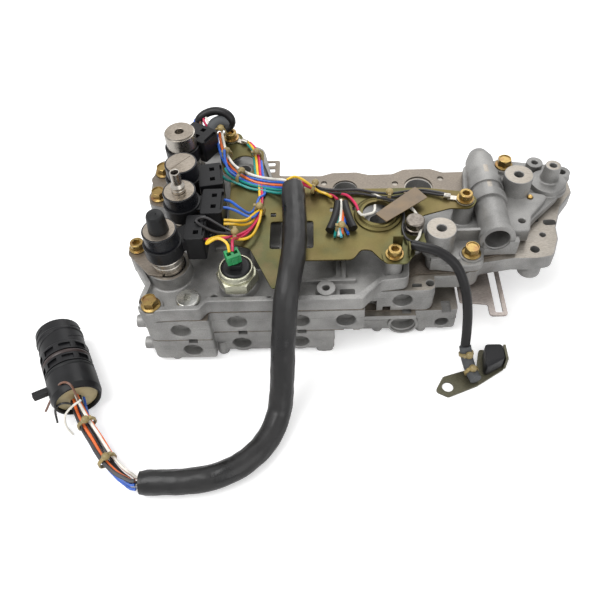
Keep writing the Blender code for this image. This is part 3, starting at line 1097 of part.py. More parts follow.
def build_bolts():
    hexes = hex_bolt()
    for i, (name, (x, y, seat)) in enumerate(HEX_BOLTS.items()):
        solid(f"hex_bolt_{name}", moved(hexes, (x, y, seat), radians(12 * i)), yellow_zinc())
    sockets = socket_bolt()
    for i, (name, (x, y, seat)) in enumerate(SOCKET_BOLTS.items()):
        solid(f"socket_bolt_{name}", moved(sockets, (x, y, seat), radians(20 * i)), yellow_zinc())
    tinned = material("tinned_copper", (0.4, 0.38, 0.34), 1.0, 0.35)
    for name, heading in (("plate_back", -28.0), ("plate_right", 168.0)):
        x, y, seat = SOCKET_BOLTS[name]
        z = seat - RING_T - SEAT
        eye = flat_part(circle(0, 0, 6.8 * MM), z, z + RING_T)
        tail = block((4 * MM, -2.2 * MM, z), (13 * MM, 2.2 * MM, z + RING_T))
        barrel = cylinder((11 * MM, 0, z + 2.0 * MM), (16 * MM, 0, z + 2.0 * MM), 2.0 * MM)
        hole = cylinder((0, 0, z - 5 * MM), (0, 0, z + 5 * MM), BOLT_R + BOLT_CLEAR)
        ring = combined(eye, ("UNION", [tail, barrel]), ("DIFFERENCE", [hole]))
        solid(f"ring_terminal_{name}", moved(ring, (x, y, 0), radians(heading)), tinned)


# Valve train

def spool(r, length):
    """Valve turned along Z from 0 to length, with three lands."""
    waist = r * 0.58
    land = length * 0.2
    return [(0.0, length), (waist, length), (r, length - 1 * MM), (r, length - land),
            (waist, length - land - 1 * MM), (waist, length * 0.62), (r, length * 0.60), (r, length * 0.40),
            (waist, length * 0.38), (waist, land + 1 * MM), (r, land), (r, 1 * MM), (waist, 0.0), (0.0, 0.0)]


def spring(r, length, turns, wire):
    """Compression spring along Z with closed ends."""
    steps = turns * SPRING_CHORDS
    points = []
    for i in range(steps + 1):
        t = i / steps
        a = 2 * pi * turns * t
        points.append((r * cos(a), r * sin(a), wire + (length - 2 * wire) * t))
    return tube(points, wire, 0)


def build_valves():
    for name, (_, x, z, r, mouth, depth, sprung) in BORES.items():
        if not sprung:
            continue
        start = mouth + PLUG_INSET + PLUG_T + SEAT
        body = along_y(turned(spool(r - VALVE_CLEAR, VALVE_LEN), VALVE_SIDES), x, start, z)
        solid(name, body, turned_steel())
        spring_start = start + VALVE_LEN + SEAT
        length = mouth + depth - SEAT - spring_start
        coil = spring(r - SPRING_WIRE_R - 0.6 * MM, length, SPRING_TURNS, SPRING_WIRE_R)
        solid(name.replace("valve", "spring"), along_y(coil, x, spring_start, z), spring_steel())


def build_manual_valve():
    end = RIGHT_X + 20 * MM
    start = MANUAL_BORE_X + 14 * MM
    neck0, neck1 = MANUAL_NECK_X - MANUAL_NECK_W / 2, MANUAL_NECK_X + MANUAL_NECK_W / 2
    r = MANUAL_R
    profile = [(0.0, end), (r - 1 * MM, end), (r, end - 1 * MM), (r, neck1), (MANUAL_NECK_R, neck1),
               (MANUAL_NECK_R, neck0), (r, neck0), (r, RIGHT_X - 14 * MM), (r * 0.6, RIGHT_X - 15 * MM),
               (r * 0.6, RIGHT_X - 32 * MM), (r, RIGHT_X - 33 * MM), (r, start + 8 * MM), (r * 0.6, start + 7 * MM),
               (0.0, start + 7 * MM)]
    solid("manual_valve", along_x(turned(profile), 0.0, MANUAL_Y, MANUAL_Z), turned_steel())
    z0, z1 = SHIFT_PLATE_Z, SHIFT_PLATE_Z + SHIFT_PLATE_T
    tongue_w = MANUAL_NECK_W - 2 * SEAT
    slot_x = 147.0 * MM
    outline = rounded([(*mm(119, -38), 2 * MM), (*mm(139.5, -40), 2 * MM), (*mm(139.5, -51), 3 * MM),
                       (*mm(153, -51), 3 * MM), (*mm(153, 0), 5 * MM), (*mm(132, 4), 5 * MM), (*mm(132, 15), 2 * MM),
                       (*mm(123, 15), 2 * MM), (*mm(123, 0), 3 * MM), (*mm(119, -4), 2 * MM)])
    slot = rounded_box(slot_x - SLOT_W / 2, -26 * MM - SLOT_LEN / 2, slot_x + SLOT_W / 2, -26 * MM + SLOT_LEN / 2,
                       1.0 * MM)
    sheet = flat_part(outline, z0, z1, [slot])
    tongue = block((MANUAL_NECK_X - tongue_w / 2, MANUAL_Y - 5.6 * MM, MANUAL_Z - 2 * MM),
                   (MANUAL_NECK_X + tongue_w / 2, MANUAL_Y + 5.6 * MM, z1 - 0.2 * MM))
    notch_r = MANUAL_NECK_R + 0.3 * MM
    cuts = [cylinder((MANUAL_NECK_X - 9 * MM, MANUAL_Y, MANUAL_Z), (MANUAL_NECK_X + 9 * MM, MANUAL_Y, MANUAL_Z),
                     notch_r),
            block((MANUAL_NECK_X - 9 * MM, MANUAL_Y - notch_r, MANUAL_Z - 9 * MM),
                  (MANUAL_NECK_X + 9 * MM, MANUAL_Y + notch_r, MANUAL_Z))]
    machined("manual_valve_plate", sheet, material("bright_steel", (0.42, 0.38, 0.35), 1.0, 0.4), [tongue], cuts)


# Harness

def strands(points, offsets, r, resolution=1):
    """Wires side by side: each follows the route at its own sideways offset."""
    meshes = []
    route = smooth_route(points, 14 * MM)
    for offset in offsets:
        shifted = []
        for i, p in enumerate(route):
            ahead = route[min(i + 1, len(route) - 1)] - route[max(i - 1, 0)]
            side = Vector((-ahead.y, ahead.x, 0)).normalized()
            shifted.append(p + side * offset)
        meshes.append(tube(shifted, r, resolution))
    return meshes


def route_mm(*points):
    return [Vector(p) * MM for p in points]


PLATE_WIRE_Z = (PLATE_TOP + SEAT + WIRE_R) / MM
STEP = 2 * WIRE_R - 0.2 * MM
TWIN_R = 2.9 * MM

SLEEVE_Z = (PLATE_TOP + SEAT + SLEEVE_R) / MM
MAIN_ROUTE = ((-5.0, 31.0, SLEEVE_Z), (-4.2, 14.0, SLEEVE_Z), (-3.4, -6.0, SLEEVE_Z), (-3.2, -26.0, SLEEVE_Z),
              (-4.4, -44.0, 88.9), (-6.4, -58.5, 86.6), (-8.6, -70.0, 79.0), (-10.2, -78.3, 68.5),
              (-11.5, -86.0, 57.0), (-12.6, -94.5, 44.8), (-13.4, -102.5, 33.0), (-14.6, -111.5, 21.5),
              (-17.0, -122.0, 12.6), (-23.5, -137.5, 9.5), (-35.0, -152.0, 9.5), (-52.0, -163.0, 9.5),
              (-75.5, -168.5, 9.5), (-109.0, -169.3, 9.5))
BUNDLE_ROUTE = ((-111.8, -169.3, 9.5), (-115.0, -169.0, 9.5), (-117.4, -167.2, 9.7), (-125.0, -162.5, 10.6),
                (-134.0, -153.5, 12.2), (-143.0, -140.5, 14.0), (-151.5, -128.4, 16.2), (-157.6, -118.0, 17.8),
                (-162.0, -108.9, 18.4))
CONNECTOR_BASE = Vector(mm(-161.0, -111.0, 18.4))
CONNECTOR_TOP = Vector(mm(-190.0, -51.0, 18.4))
LEAD_ROUTE = ((79.4, -27.6, 84.2), (86.0, -30.4, 84.6), (97.0, -34.5, 84.0), (109.0, -42.0, 77.5),
              (116.0, -51.5, 64.0), (119.0, -59.5, 48.0), (120.0, -65.5, 32.0), (120.0, -70.0, 20.5))


def build_harness():
    plastic = black_plastic()
    route = smooth_route(route_mm(*MAIN_ROUTE), 14 * MM)
    shade(add_object("main_sleeve", tube(route, SLEEVE_R, 3), black_rubber()))
    route = smooth_route(route_mm(*BUNDLE_ROUTE), 9 * MM)
    shade(add_object("conductor_bundle", tube(route, BUNDLE_R, 2), material("wire_white", (0.6, 0.58, 0.5), 0, 0.5)))
    build_connector(plastic)
    build_sensor(plastic)
    build_plate_wires()


def build_connector(plastic):
    """Round bulkhead connector lying on its side, stepped with two seal grooves."""
    length = (CONNECTOR_TOP - CONNECTOR_BASE).length
    r = CONNECTOR_R
    top = length
    profile = [(0.0, top), (r - 2.0 * MM, top), (r - 1.4 * MM, top - 1 * MM), (r - 1.0 * MM, top - 23 * MM),
               (r - 0.2 * MM, top - 24 * MM), (r - 0.2 * MM, top - 31 * MM), (r - 2.2 * MM, top - 31 * MM),
               (r - 2.2 * MM, top - 35 * MM), (r - 0.2 * MM, top - 35 * MM), (r - 0.2 * MM, top - 42 * MM),
               (r - 2.2 * MM, top - 42 * MM), (r - 2.2 * MM, top - 46 * MM), (r, top - 46 * MM),
               (r, 4 * MM), (r - 1.5 * MM, 0.0), (r - 3.0 * MM, 0.0), (r - 3.0 * MM, 6 * MM), (0.0, 6 * MM)]
    shell = turned(profile)
    tail = cylinder((0, 0, 6 * MM - 2.0 * MM - 1.0 * MM), (0, 0, 6 * MM - SEAT), r - 3.0 * MM - SEAT)
    seals = [turned([(r - 2.4 * MM, h + 3.2 * MM), (r - 0.6 * MM, h + 3.2 * MM), (r - 0.05 * MM, h + 1.6 * MM),
                     (r - 0.6 * MM, h), (r - 2.4 * MM, h), (r - 2.4 * MM, h + 3.2 * MM)])
             for h in (top - 34.6 * MM, top - 45.6 * MM)]
    place = Matrix.Translation(CONNECTOR_BASE) @ (CONNECTOR_TOP - CONNECTOR_BASE).to_track_quat("Z", "Y").to_matrix().to_4x4()
    arm = block((-2.6 * MM, r - 4 * MM, 15 * MM), (2.6 * MM, r + 11 * MM, 20 * MM))
    arm_turn = Matrix.Rotation(radians(CONNECTOR_ARM_TURN), 4, "Z")
    arm.transform(arm_turn)
    windows = []
    for h in (top - 30 * MM, top - 41 * MM):
        for k in range(6):
            window = block((-2.6 * MM, r - 2.4 * MM, h), (2.6 * MM, r + 2 * MM, h + 5 * MM))
            window.transform(Matrix.Rotation(radians(60 * k + 15), 4, "Z"))
            windows.append(window)
    for mesh in (shell, tail, arm, *seals, *windows):
        mesh.transform(place)
    machined("connector_shell", shell, plastic, [arm, *seals], windows)
    solid("connector_insert", tail, material("tan_plastic", (0.45, 0.38, 0.24), 0.0, 0.5))


CONNECTOR_ARM_TURN = -90.0


def build_sensor(plastic):
    """Speed sensor on its bracket at the end of the short lead."""
    route = smooth_route(route_mm(*LEAD_ROUTE), 8 * MM)
    shade(add_object("lead_cable", tube(route, LEAD_R, 2), black_rubber()))
    sleeve = tube(smooth_route(route_mm((120.0, -70.6, 19.4), (121.5, -76.0, 12.5), (124.0, -84.0, 7.6),
                                        (126.5, -92.0, 7.2)), 6 * MM), 4.4 * MM, 2)
    shade(add_object("lead_sleeve", sleeve, material("grey_sleeve", (0.06, 0.065, 0.07), 0.0, 0.6)))
    z = 0.0
    sheet = flat_part(rounded([(*mm(97, -98), 3 * MM), (*mm(106, -103), 3 * MM), (*mm(128, -94), 3 * MM),
                               (*mm(150, -80), 3 * MM), (*mm(152, -66), 3 * MM), (*mm(134, -62), 3 * MM),
                               (*mm(130, -78), 3 * MM), (*mm(104, -86), 3 * MM)]), z, z + 2.0 * MM,
                      [circle(*mm(106.5, -94.5, 4.2))])
    fold = block(mm(149.6, -79, 0.2), mm(151.6, -66, 14))
    machined("sensor_bracket", sheet, material("olive_steel", (0.10, 0.10, 0.06), 0.8, 0.45), [fold])
    body = flat_part(rounded([(*mm(133, -87.5), 3 * MM), (*mm(149, -78.5), 3 * MM), (*mm(149, -66), 3 * MM),
                              (*mm(136, -66), 3 * MM)]), 2.0 * MM + SEAT, 15 * MM)
    solid("speed_sensor", body, plastic)


def build_plate_wires():
    """Loom that the ties hold along the plate: flat runs of wires that touch, joined where runs meet."""
    z = PLATE_WIRE_Z
    over = z + 1.8
    run = strands(route_mm((-61.0, 90.0, z + 6), (-60.6, 84.0, z + 4.8), (-58.0, 74.0, z + 2.4), (-52.0, 62.0, z + 0.8),
                           (-45.0, 52.0, over - 0.6), (-34.0, 46.0, over), (-22.0, 42.0, over), (-9.0, 37.0, over)),
                  [STEP * k for k in (-1.5, -0.5, 0.5, 1.5)], WIRE_R)
    run += strands(route_mm((-43.0, 92.0, z + 2.2), (-38.0, 84.0, z + 0.3), (-35.5, 70.0, z), (-34.4, 54.0, z),
                            (-32.0, 36.0, z), (-31.5, 22.0, z), (-33.5, 8.0, z), (-38.0, -3.0, z), (-46.0, -10.0, z)),
                   [STEP * k for k in (-1, 0, 1)], WIRE_R)
    run += strands(route_mm((-14.0, 40.5, over), (-4.0, 41.8, z + 3), (8.0, 35.0, z), (18.0, 34.0, z),
                            (27.0, 30.5, z + 0.5), (30.5, 22.0, z + 1.4)), [STEP * k for k in (-0.5, 0.5)], WIRE_R)
    run += strands(route_mm((25.0, 31.5, z + 0.3), (38.0, 31.0, z), (55.0, 30.5, z), (76.0, 33.0, z),
                            (97.0, 31.0, z), (106.5, 25.6, z + 1.0)), [STEP * k for k in (-0.5, 0.5)], WIRE_R)
    loom = combined(run[0], ("UNION", run[1:]))
    solid("wiring_loom", loom, material("wire_blue", (0.03, 0.12, 0.5), 0.0, 0.45))
    z = (PLATE_TOP + SEAT + TWIN_R) / MM
    left = tube(smooth_route(route_mm((28.6, 18.5, z), (27.4, 10.0, z), (25.0, 0.0, z), (21.5, -10.0, z)), 8 * MM),
                TWIN_R, 2)
    right = tube(smooth_route(route_mm((33.6, 18.5, z), (34.8, 10.0, z), (37.0, 0.0, z), (39.5, -8.5, z)), 8 * MM),
                 TWIN_R, 2)
    solid("twin_sleeves", combined(left, ("UNION", [right])), black_rubber())


def main():
    clear_scene()
    build_lower_body()
    build_lower_separator()
    build_middle_body()
    build_upper_separator()
    build_upper_left()
    build_upper_right()
    build_wiring_plate()
    build_wire_shield()
    build_wire_clip()
    build_solenoids()
    build_connectors()
    build_clamp()
    build_switch()
    build_plugs()
    build_bolts()
    build_valves()
    build_manual_valve()
    build_harness()
    bpy.context.view_layer.update()


main()
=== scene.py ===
"""Looks of a transmission valve body: finishes, wires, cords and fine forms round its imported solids.

Points and sizes are in millimetres here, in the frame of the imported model, and each piece
is scaled to metres when it is made.
"""
import json
from math import acos, ceil, cos, pi, radians, sin, tan

import bmesh
import bpy
from mathutils import Matrix, Vector, noise

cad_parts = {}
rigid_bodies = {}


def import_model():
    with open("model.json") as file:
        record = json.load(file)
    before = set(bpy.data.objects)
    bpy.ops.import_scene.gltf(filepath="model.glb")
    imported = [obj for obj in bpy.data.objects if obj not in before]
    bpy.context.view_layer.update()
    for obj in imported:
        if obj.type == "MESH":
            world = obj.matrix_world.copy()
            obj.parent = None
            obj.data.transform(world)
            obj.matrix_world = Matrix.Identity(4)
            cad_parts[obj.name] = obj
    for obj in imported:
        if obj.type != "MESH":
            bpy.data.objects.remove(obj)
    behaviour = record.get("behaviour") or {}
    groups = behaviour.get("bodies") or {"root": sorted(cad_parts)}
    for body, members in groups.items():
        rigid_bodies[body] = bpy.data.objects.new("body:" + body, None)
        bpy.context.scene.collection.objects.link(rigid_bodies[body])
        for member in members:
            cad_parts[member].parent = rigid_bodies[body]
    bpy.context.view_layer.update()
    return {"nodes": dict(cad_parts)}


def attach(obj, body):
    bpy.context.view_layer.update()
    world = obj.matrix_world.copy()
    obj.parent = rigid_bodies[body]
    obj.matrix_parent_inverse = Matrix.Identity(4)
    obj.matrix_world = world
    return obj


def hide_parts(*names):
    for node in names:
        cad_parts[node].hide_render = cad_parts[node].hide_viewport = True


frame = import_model()

MM = 0.001
ROOT = "valve_body"
VALVE_TRAIN = "manual_valve_train"


# Camera at the photograph's viewing angle

CAMERA_PLACE = Vector((17.94, -345.10, 430.64))
CAMERA_RIGHT = Vector((0.99905, 0.00778, -0.04295))
CAMERA_DOWN = Vector((-0.02026, -0.78892, -0.61416))
FOCAL_PIXELS = 663.0
HALF_FRAME = 300.0
SENSOR = 36.0


def build_camera():
    camera = bpy.data.objects.new("camera", bpy.data.cameras.new("camera"))
    bpy.context.scene.collection.objects.link(camera)
    forward = CAMERA_RIGHT.cross(CAMERA_DOWN)
    turn = Matrix((CAMERA_RIGHT, -CAMERA_DOWN, -forward)).transposed().to_4x4()
    camera.matrix_world = Matrix.Translation(CAMERA_PLACE * MM) @ turn
    camera.data.sensor_width = SENSOR
    camera.data.lens = SENSOR / 2 * FOCAL_PIXELS / HALF_FRAME
    camera.data.clip_start = 0.01
    bpy.context.scene.camera = camera


# Finishes

def srgb(*levels):
    """Linear colour from display levels, 0 to 255."""
    shares = [level / 255 for level in levels]
    return tuple(s / 12.92 if s <= 0.04045 else ((s + 0.055) / 1.055) ** 2.4 for s in shares)


def toned(tone, factor):
    """Linear colour of a display tone made darker or lighter."""
    return srgb(*[min(255, t * factor) for t in tone])


class Finish:
    """A material and short ways to add nodes to it."""

    def __init__(self, name):
        self.material = bpy.data.materials.new(name)
        self.material.use_nodes = True
        self.nodes = self.material.node_tree.nodes
        self.links = self.material.node_tree.links
        self.shader = self.nodes["Principled BSDF"]
        self.place = self.nodes.new("ShaderNodeTexCoord").outputs["Object"]

    def set(self, **values):
        for name, value in values.items():
            self.shader.inputs[name.replace("_", " ").title().replace("Ior", "IOR")].default_value = value

    def stretched(self, scale):
        mapping = self.nodes.new("ShaderNodeMapping")
        mapping.inputs["Scale"].default_value = scale
        self.links.new(self.place, mapping.inputs["Vector"])
        return mapping.outputs["Vector"]

    def noise(self, scale, detail=3.0, vector=None, rough=0.5):
        made = self.nodes.new("ShaderNodeTexNoise")
        made.inputs["Scale"].default_value = scale
        made.inputs["Detail"].default_value = detail
        made.inputs["Roughness"].default_value = rough
        self.links.new(vector or self.place, made.inputs["Vector"])
        return made.outputs["Fac"]

    def ramp(self, value, stops):
        made = self.nodes.new("ShaderNodeValToRGB")
        elements = made.color_ramp.elements
        while len(elements) < len(stops):
            elements.new(0.5)
        for element, (place, colour) in zip(elements, stops):
            element.position = place
            element.color = (*colour, 1.0)
        self.links.new(value, made.inputs["Fac"])
        return made.outputs["Color"]

    def spread(self, value, low, high):
        made = self.nodes.new("ShaderNodeMapRange")
        for name, number in (("From Min", 0.3), ("From Max", 0.7), ("To Min", low), ("To Max", high)):
            made.inputs[name].default_value = number
        self.links.new(value, made.inputs["Value"])
        return made.outputs["Result"]

    def multiplied(self, a, b, share):
        made = self.nodes.new("ShaderNodeMix")
        made.data_type = "RGBA"
        made.blend_type = "MULTIPLY"
        self.links.new(a, made.inputs["A"])
        self.links.new(b, made.inputs["B"])
        made.inputs["Factor"].default_value = share
        return made.outputs["Result"]

    def colour(self, value):
        self.links.new(value, self.shader.inputs["Base Color"])

    def roughness(self, value):
        self.links.new(value, self.shader.inputs["Roughness"])

    def bump(self, height, depth, strength, under=None):
        made = self.nodes.new("ShaderNodeBump")
        made.inputs["Strength"].default_value = strength
        made.inputs["Distance"].default_value = depth * MM
        self.links.new(height, made.inputs["Height"])
        if under is not None:
            self.links.new(under, made.inputs["Normal"])
        self.links.new(made.outputs["Normal"], self.shader.inputs["Normal"])
        return made.outputs["Normal"]


def cast_metal(name, tone, metallic):
    """Sand-grey casting skin: cloudy tone, fine grain, matte."""
    made = Finish(name)
    cloud = made.noise(38.0, 5.0)
    grain = made.noise(1500.0, 2.0)
    base = made.ramp(cloud, [(0.3, toned(tone, 0.8)), (0.5, srgb(*tone)),
                             (0.7, toned(tone, 1.15))])
    speck = made.ramp(grain, [(0.3, (0.72, 0.72, 0.72)), (0.7, (1.2, 1.2, 1.2))])
    made.colour(made.multiplied(base, speck, 0.55))
    made.roughness(made.spread(cloud, 0.36, 0.58))
    made.set(metallic=metallic)
    coarse = made.bump(made.noise(420.0, 3.0), 0.25, 0.35)
    made.bump(grain, 0.12, 0.45, coarse)
    return made.material


def machined_metal(name, tone, across, metallic, rough):
    """Milled or ground face with fine tool lines."""
    made = Finish(name)
    lines = made.noise(520.0, 2.0, made.stretched(across))
    cloud = made.noise(55.0, 3.0)
    shade = made.ramp(lines, [(0.25, toned(tone, 0.84)), (0.75, toned(tone, 1.14))])
    stain = made.ramp(cloud, [(0.35, (0.86, 0.84, 0.8)), (0.65, (1.08, 1.08, 1.08))])
    made.colour(made.multiplied(shade, stain, 0.7))
    made.roughness(made.spread(cloud, rough - 0.07, rough + 0.1))
    made.set(metallic=metallic)
    made.bump(lines, 0.05, 0.4)
    return made.material


def zinc_gold(name, tones, rough, cloud_scale=24.0):
    """Yellow zinc plate: olive gold that drifts to green and rose."""
    made = Finish(name)
    cloud = made.noise(cloud_scale, 4.0)
    fine = made.noise(900.0, 2.0)
    base = made.ramp(cloud, [(place, srgb(*tone)) for place, tone in tones])
    speck = made.ramp(fine, [(0.3, (0.85, 0.85, 0.85)), (0.7, (1.1, 1.1, 1.1))])
    made.colour(made.multiplied(base, speck, 0.5))
    made.roughness(made.spread(made.noise(60.0, 3.0), rough - 0.08, rough + 0.1))
    made.set(metallic=0.85)
    made.bump(fine, 0.05, 0.3)
    return made.material


def moulded(name, tone, rough, grain=1400.0, depth=0.05, coat=0.0, shine=0.5):
    """Plastic, rubber or insulation with a fine moulded grain and slight tone drift."""
    made = Finish(name)
    cloud = made.noise(90.0, 3.0)
    fine = made.noise(grain, 2.0)
    made.colour(made.ramp(cloud, [(0.3, toned(tone, 0.85)),
                                  (0.7, toned(tone, 1.12))]))
    made.roughness(made.spread(cloud, rough - 0.06, rough + 0.08))
    made.set(metallic=0.0, coat_weight=coat, specular_ior_level=shine)
    made.bump(fine, depth, 0.4)
    return made.material


def shrink_sleeve(name):
    """Black shrink sleeve with oily patches, fine pits and stretched creases."""
    made = Finish(name)
    patch = made.noise(45.0, 4.0)
    crease = made.noise(260.0, 4.0, made.stretched((1.0, 0.35, 1.0)), 0.6)
    pits = made.noise(1900.0, 2.0)
    made.colour(made.ramp(patch, [(0.3, srgb(17, 17, 18)), (0.7, srgb(34, 33, 33))]))
    made.roughness(made.spread(patch, 0.24, 0.46))
    made.set(metallic=0.0, specular_ior_level=0.4)
    low = made.bump(crease, 0.5, 0.5)
    made.bump(pits, 0.1, 0.5, low)
    return made.material


CAST = cast_metal("cast_aluminium_skin", (143, 142, 140), 0.5)
MILLED = machined_metal("milled_aluminium", (150, 144, 136), (1.0, 9.0, 1.0), 0.75, 0.36)
SHEET = machined_metal("separator_sheet", (122, 114, 105), (1.0, 6.0, 1.0), 0.8, 0.42)
TURNED = machined_metal("turned_steel", (168, 163, 156), (1.0, 1.0, 14.0), 0.95, 0.24)
TURNED_DARK = machined_metal("turned_steel_dark", (112, 106, 100), (1.0, 1.0, 14.0), 0.95, 0.3)
FACED = machined_metal("faced_steel", (158, 149, 138), (1.0, 5.0, 1.0), 0.92, 0.3)
BRIGHT = machined_metal("bright_aluminium_skin", (186, 186, 182), (1.0, 7.0, 1.0), 0.85, 0.28)
SHIFT = machined_metal("shift_plate_steel", (172, 163, 158), (1.0, 8.0, 1.0), 0.85, 0.36)
ZINC = machined_metal("zinc_steel_skin", (176, 176, 158), (1.0, 1.0, 6.0), 0.85, 0.3)
SPRING = machined_metal("spring_wire", (128, 126, 122), (1.0, 1.0, 1.0), 0.9, 0.35)
TIN = machined_metal("tinned_terminal", (176, 172, 164), (4.0, 1.0, 1.0), 0.9, 0.28)
BRASS = machined_metal("brass_pin", (180, 150, 92), (1.0, 1.0, 8.0), 0.95, 0.28)
OLIVE = machined_metal("olive_plate", (92, 90, 74), (1.0, 4.0, 1.0), 0.6, 0.42)
GOLD_PLATE = zinc_gold("gold_zinc_sheet", [(0.28, (106, 92, 62)), (0.45, (98, 89, 53)),
                                           (0.62, (87, 87, 58)), (0.78, (112, 94, 68))], 0.38)
GOLD_BOLT = zinc_gold("gold_zinc_bolt", [(0.25, (122, 98, 54)), (0.5, (158, 134, 82)),
                                         (0.75, (138, 100, 68))],
                      0.24, 160.0)
FILM = moulded("bronze_film_skin", (116, 97, 72), 0.38, 900.0)
BLACK = moulded("black_moulding", (24, 24, 26), 0.38, shine=0.25)
COIL = moulded("coil_cover", (22, 23, 27), 0.3, shine=0.3)
RUBBER = moulded("black_rubber_skin", (24, 25, 26), 0.44, shine=0.25)
SLEEVE = shrink_sleeve("shrink_sleeve")
CABLE = moulded("lead_jacket", (22, 21, 22), 0.34, 1800.0, 0.08, shine=0.3)
GREY = moulded("grey_sleeve_skin", (72, 74, 76), 0.6)
GREEN = moulded("green_moulding", (42, 142, 84), 0.4)
TAN = moulded("tan_moulding", (176, 162, 124), 0.5)
TIE = moulded("tie_nylon", (148, 130, 84), 0.36)
SEAL = moulded("seal_rubber", (44, 30, 28), 0.4)
WIRE_TONES = {"blue": (34, 92, 190), "teal": (18, 136, 128), "orange": (222, 104, 42),
              "yellow": (232, 186, 42),
              "crimson": (198, 34, 82), "white": (226, 222, 212), "black": (36, 34, 36),
              "brown": (104, 66, 46), "cyan": (96, 190, 206), "green": (42, 142, 84)}
WIRES = {name: moulded(f"wire_{name}", tone, 0.36, 2600.0, 0.03, 0.15) for name, tone in WIRE_TONES.items()}


# Outlines

FACET_ERROR = 0.035


def sides_of(r):
    return max(12, 4 * ceil(pi / acos(1 - FACET_ERROR / max(r, 0.2)) / 4))


def rounded(corners, steps=5):
    """Closed outline through (x, y, radius) corners, each radius laid as a curve."""
    out = []
    count = len(corners)
    for i, (x, y, r) in enumerate(corners):
        here = Vector((x, y))
        before = Vector(corners[i - 1][:2]) - here
        after = Vector(corners[(i + 1) % count][:2]) - here
        reach = min(r / tan(before.angle(after) / 2), before.length * 0.48, after.length * 0.48)
        start = here + before.normalized() * reach
        end = here + after.normalized() * reach
        for k in range(steps + 1):
            t = k / steps
            out.append(tuple(start.lerp(here, t).lerp(here.lerp(end, t), t)))
    return out


def rounded_box(x0, y0, x1, y1, r):
    return rounded([(x0, y0, r), (x1, y0, r), (x1, y1, r), (x0, y1, r)], 4)


def circle(cx, cy, r):
    steps = sides_of(r)
    return [(cx + r * cos(2 * pi * i / steps), cy + r * sin(2 * pi * i / steps)) for i in range(steps)]


def hexagon(across):
    r = across / 2 / cos(radians(30))
    return [(r * cos(radians(60 * i)), r * sin(radians(60 * i))) for i in range(6)]


# Solids

def clean(mesh, distance=0.002):
    work = bmesh.new()
    work.from_mesh(mesh)
    bmesh.ops.remove_doubles(work, verts=work.verts, dist=distance)
    bmesh.ops.recalc_face_normals(work, faces=work.faces)
    work.to_mesh(mesh)
    work.free()
    return mesh


def mesh_of(thing):
    graph = bpy.context.evaluated_depsgraph_get()
    mesh = bpy.data.meshes.new_from_object(thing.evaluated_get(graph))
    mesh.transform(thing.matrix_world)
    bpy.data.objects.remove(thing, do_unlink=True)
    return clean(mesh)


def flat(outline, z0, z1, holes=(), edge=0.4, resolution=1):
    """Extruded outline with holes, every rim rounded by the edge radius."""
    curve = bpy.data.curves.new("outline", "CURVE")
    curve.dimensions = "2D"
    curve.fill_mode = "BOTH"
    curve.extrude = (z1 - z0) / 2 - edge
    curve.bevel_depth = edge
    curve.offset = -edge
    curve.bevel_resolution = resolution
    for ring in (outline, *holes):
        spline = curve.splines.new("POLY")
        spline.points.add(len(ring) - 1)
        for point, (x, y) in zip(spline.points, ring):
            point.co = (x, y, 0.0, 1.0)
        spline.use_cyclic_u = True
    guide = bpy.data.objects.new("outline", curve)
    bpy.context.scene.collection.objects.link(guide)
    guide.location.z = (z0 + z1) / 2
    bpy.context.view_layer.update()
    return mesh_of(guide)


def turned(profile, sides=None):
    """Mesh turned about Z from (radius, height) points, listed from the top down."""
    sides = sides or sides_of(max(r for r, _ in profile))
    verts, faces, rings = [], [], []
    for r, z in profile:
        count = 1 if r < 1e-6 else sides
        rings.append(range(len(verts), len(verts) + count))
        verts += [(r * cos(2 * pi * i / sides), r * sin(2 * pi * i / sides), z) for i in range(count)]
    for upper, lower in zip(rings, rings[1:]):
        for i in range(sides):
            k = (i + 1) % sides
            around = (upper[i % len(upper)], lower[i % len(lower)], lower[k % len(lower)],
                      upper[k % len(upper)])
            ring = tuple(dict.fromkeys(around))
            if len(ring) > 2:
                faces.append(ring)
    mesh = bpy.data.meshes.new("turned")
    mesh.from_pydata(verts, [], faces)
    return clean(mesh, 0.0002)


def softened(profile, edge=0.3, steps=2):
    """Turned profile with each outer or inner corner cut back to a small curve."""
    out = [profile[0]]
    for before, here, after in zip(profile, profile[1:], profile[2:]):
        a, b, c = Vector(before), Vector(here), Vector(after)
        reach = min(edge, (a - b).length * 0.45, (c - b).length * 0.45)
        if here[0] < 1e-6 or reach < 0.02:
            out.append(here)
            continue
        start, end = b + (a - b).normalized() * reach, b + (c - b).normalized() * reach
        for k in range(steps + 1):
            t = k / steps
            out.append(tuple(start.lerp(b, t).lerp(b.lerp(end, t), t)))
    out.append(profile[-1])
    return out


def aimed(mesh, start, end):
    """The mesh, made along Z from 0, laid from start towards end."""
    turn = (Vector(end) - Vector(start)).to_track_quat("Z", "Y").to_matrix().to_4x4()
    mesh.transform(Matrix.Translation(start) @ turn)
    return mesh


def rod(start, end, r, r_end=None, edge=0.3):
    """Cylinder or cone between two points with softened rims."""
    length = (Vector(end) - Vector(start)).length
    r_end = r if r_end is None else r_end
    profile = [(0.0, length), (r_end, length), (r, 0.0), (0.0, 0.0)]
    if edge > 0:
        profile = softened(profile, edge)
    return aimed(turned(profile), start, end)


def bore(mouth, inward, depth, r, chamfer):
    """Cutter for a hole of that depth whose mouth is chamfered."""
    mouth, inward = Vector(mouth), Vector(inward)
    profile = [(0.0, depth), (r, depth), (r, chamfer), (r + chamfer, 0.0), (r + chamfer, -12.0),
               (0.0, -12.0)]
    return aimed(turned(profile), mouth, mouth + inward)


def sunk(x, y, top, depth, r, chamfer=0.4):
    return bore((x, y, top), (0, 0, -1), depth, r, chamfer)


def post(x, y, z0, z1, r, edge):
    """Upright cylinder between two heights."""
    return rod((x, y, z0), (x, y, z1), r, edge=edge)


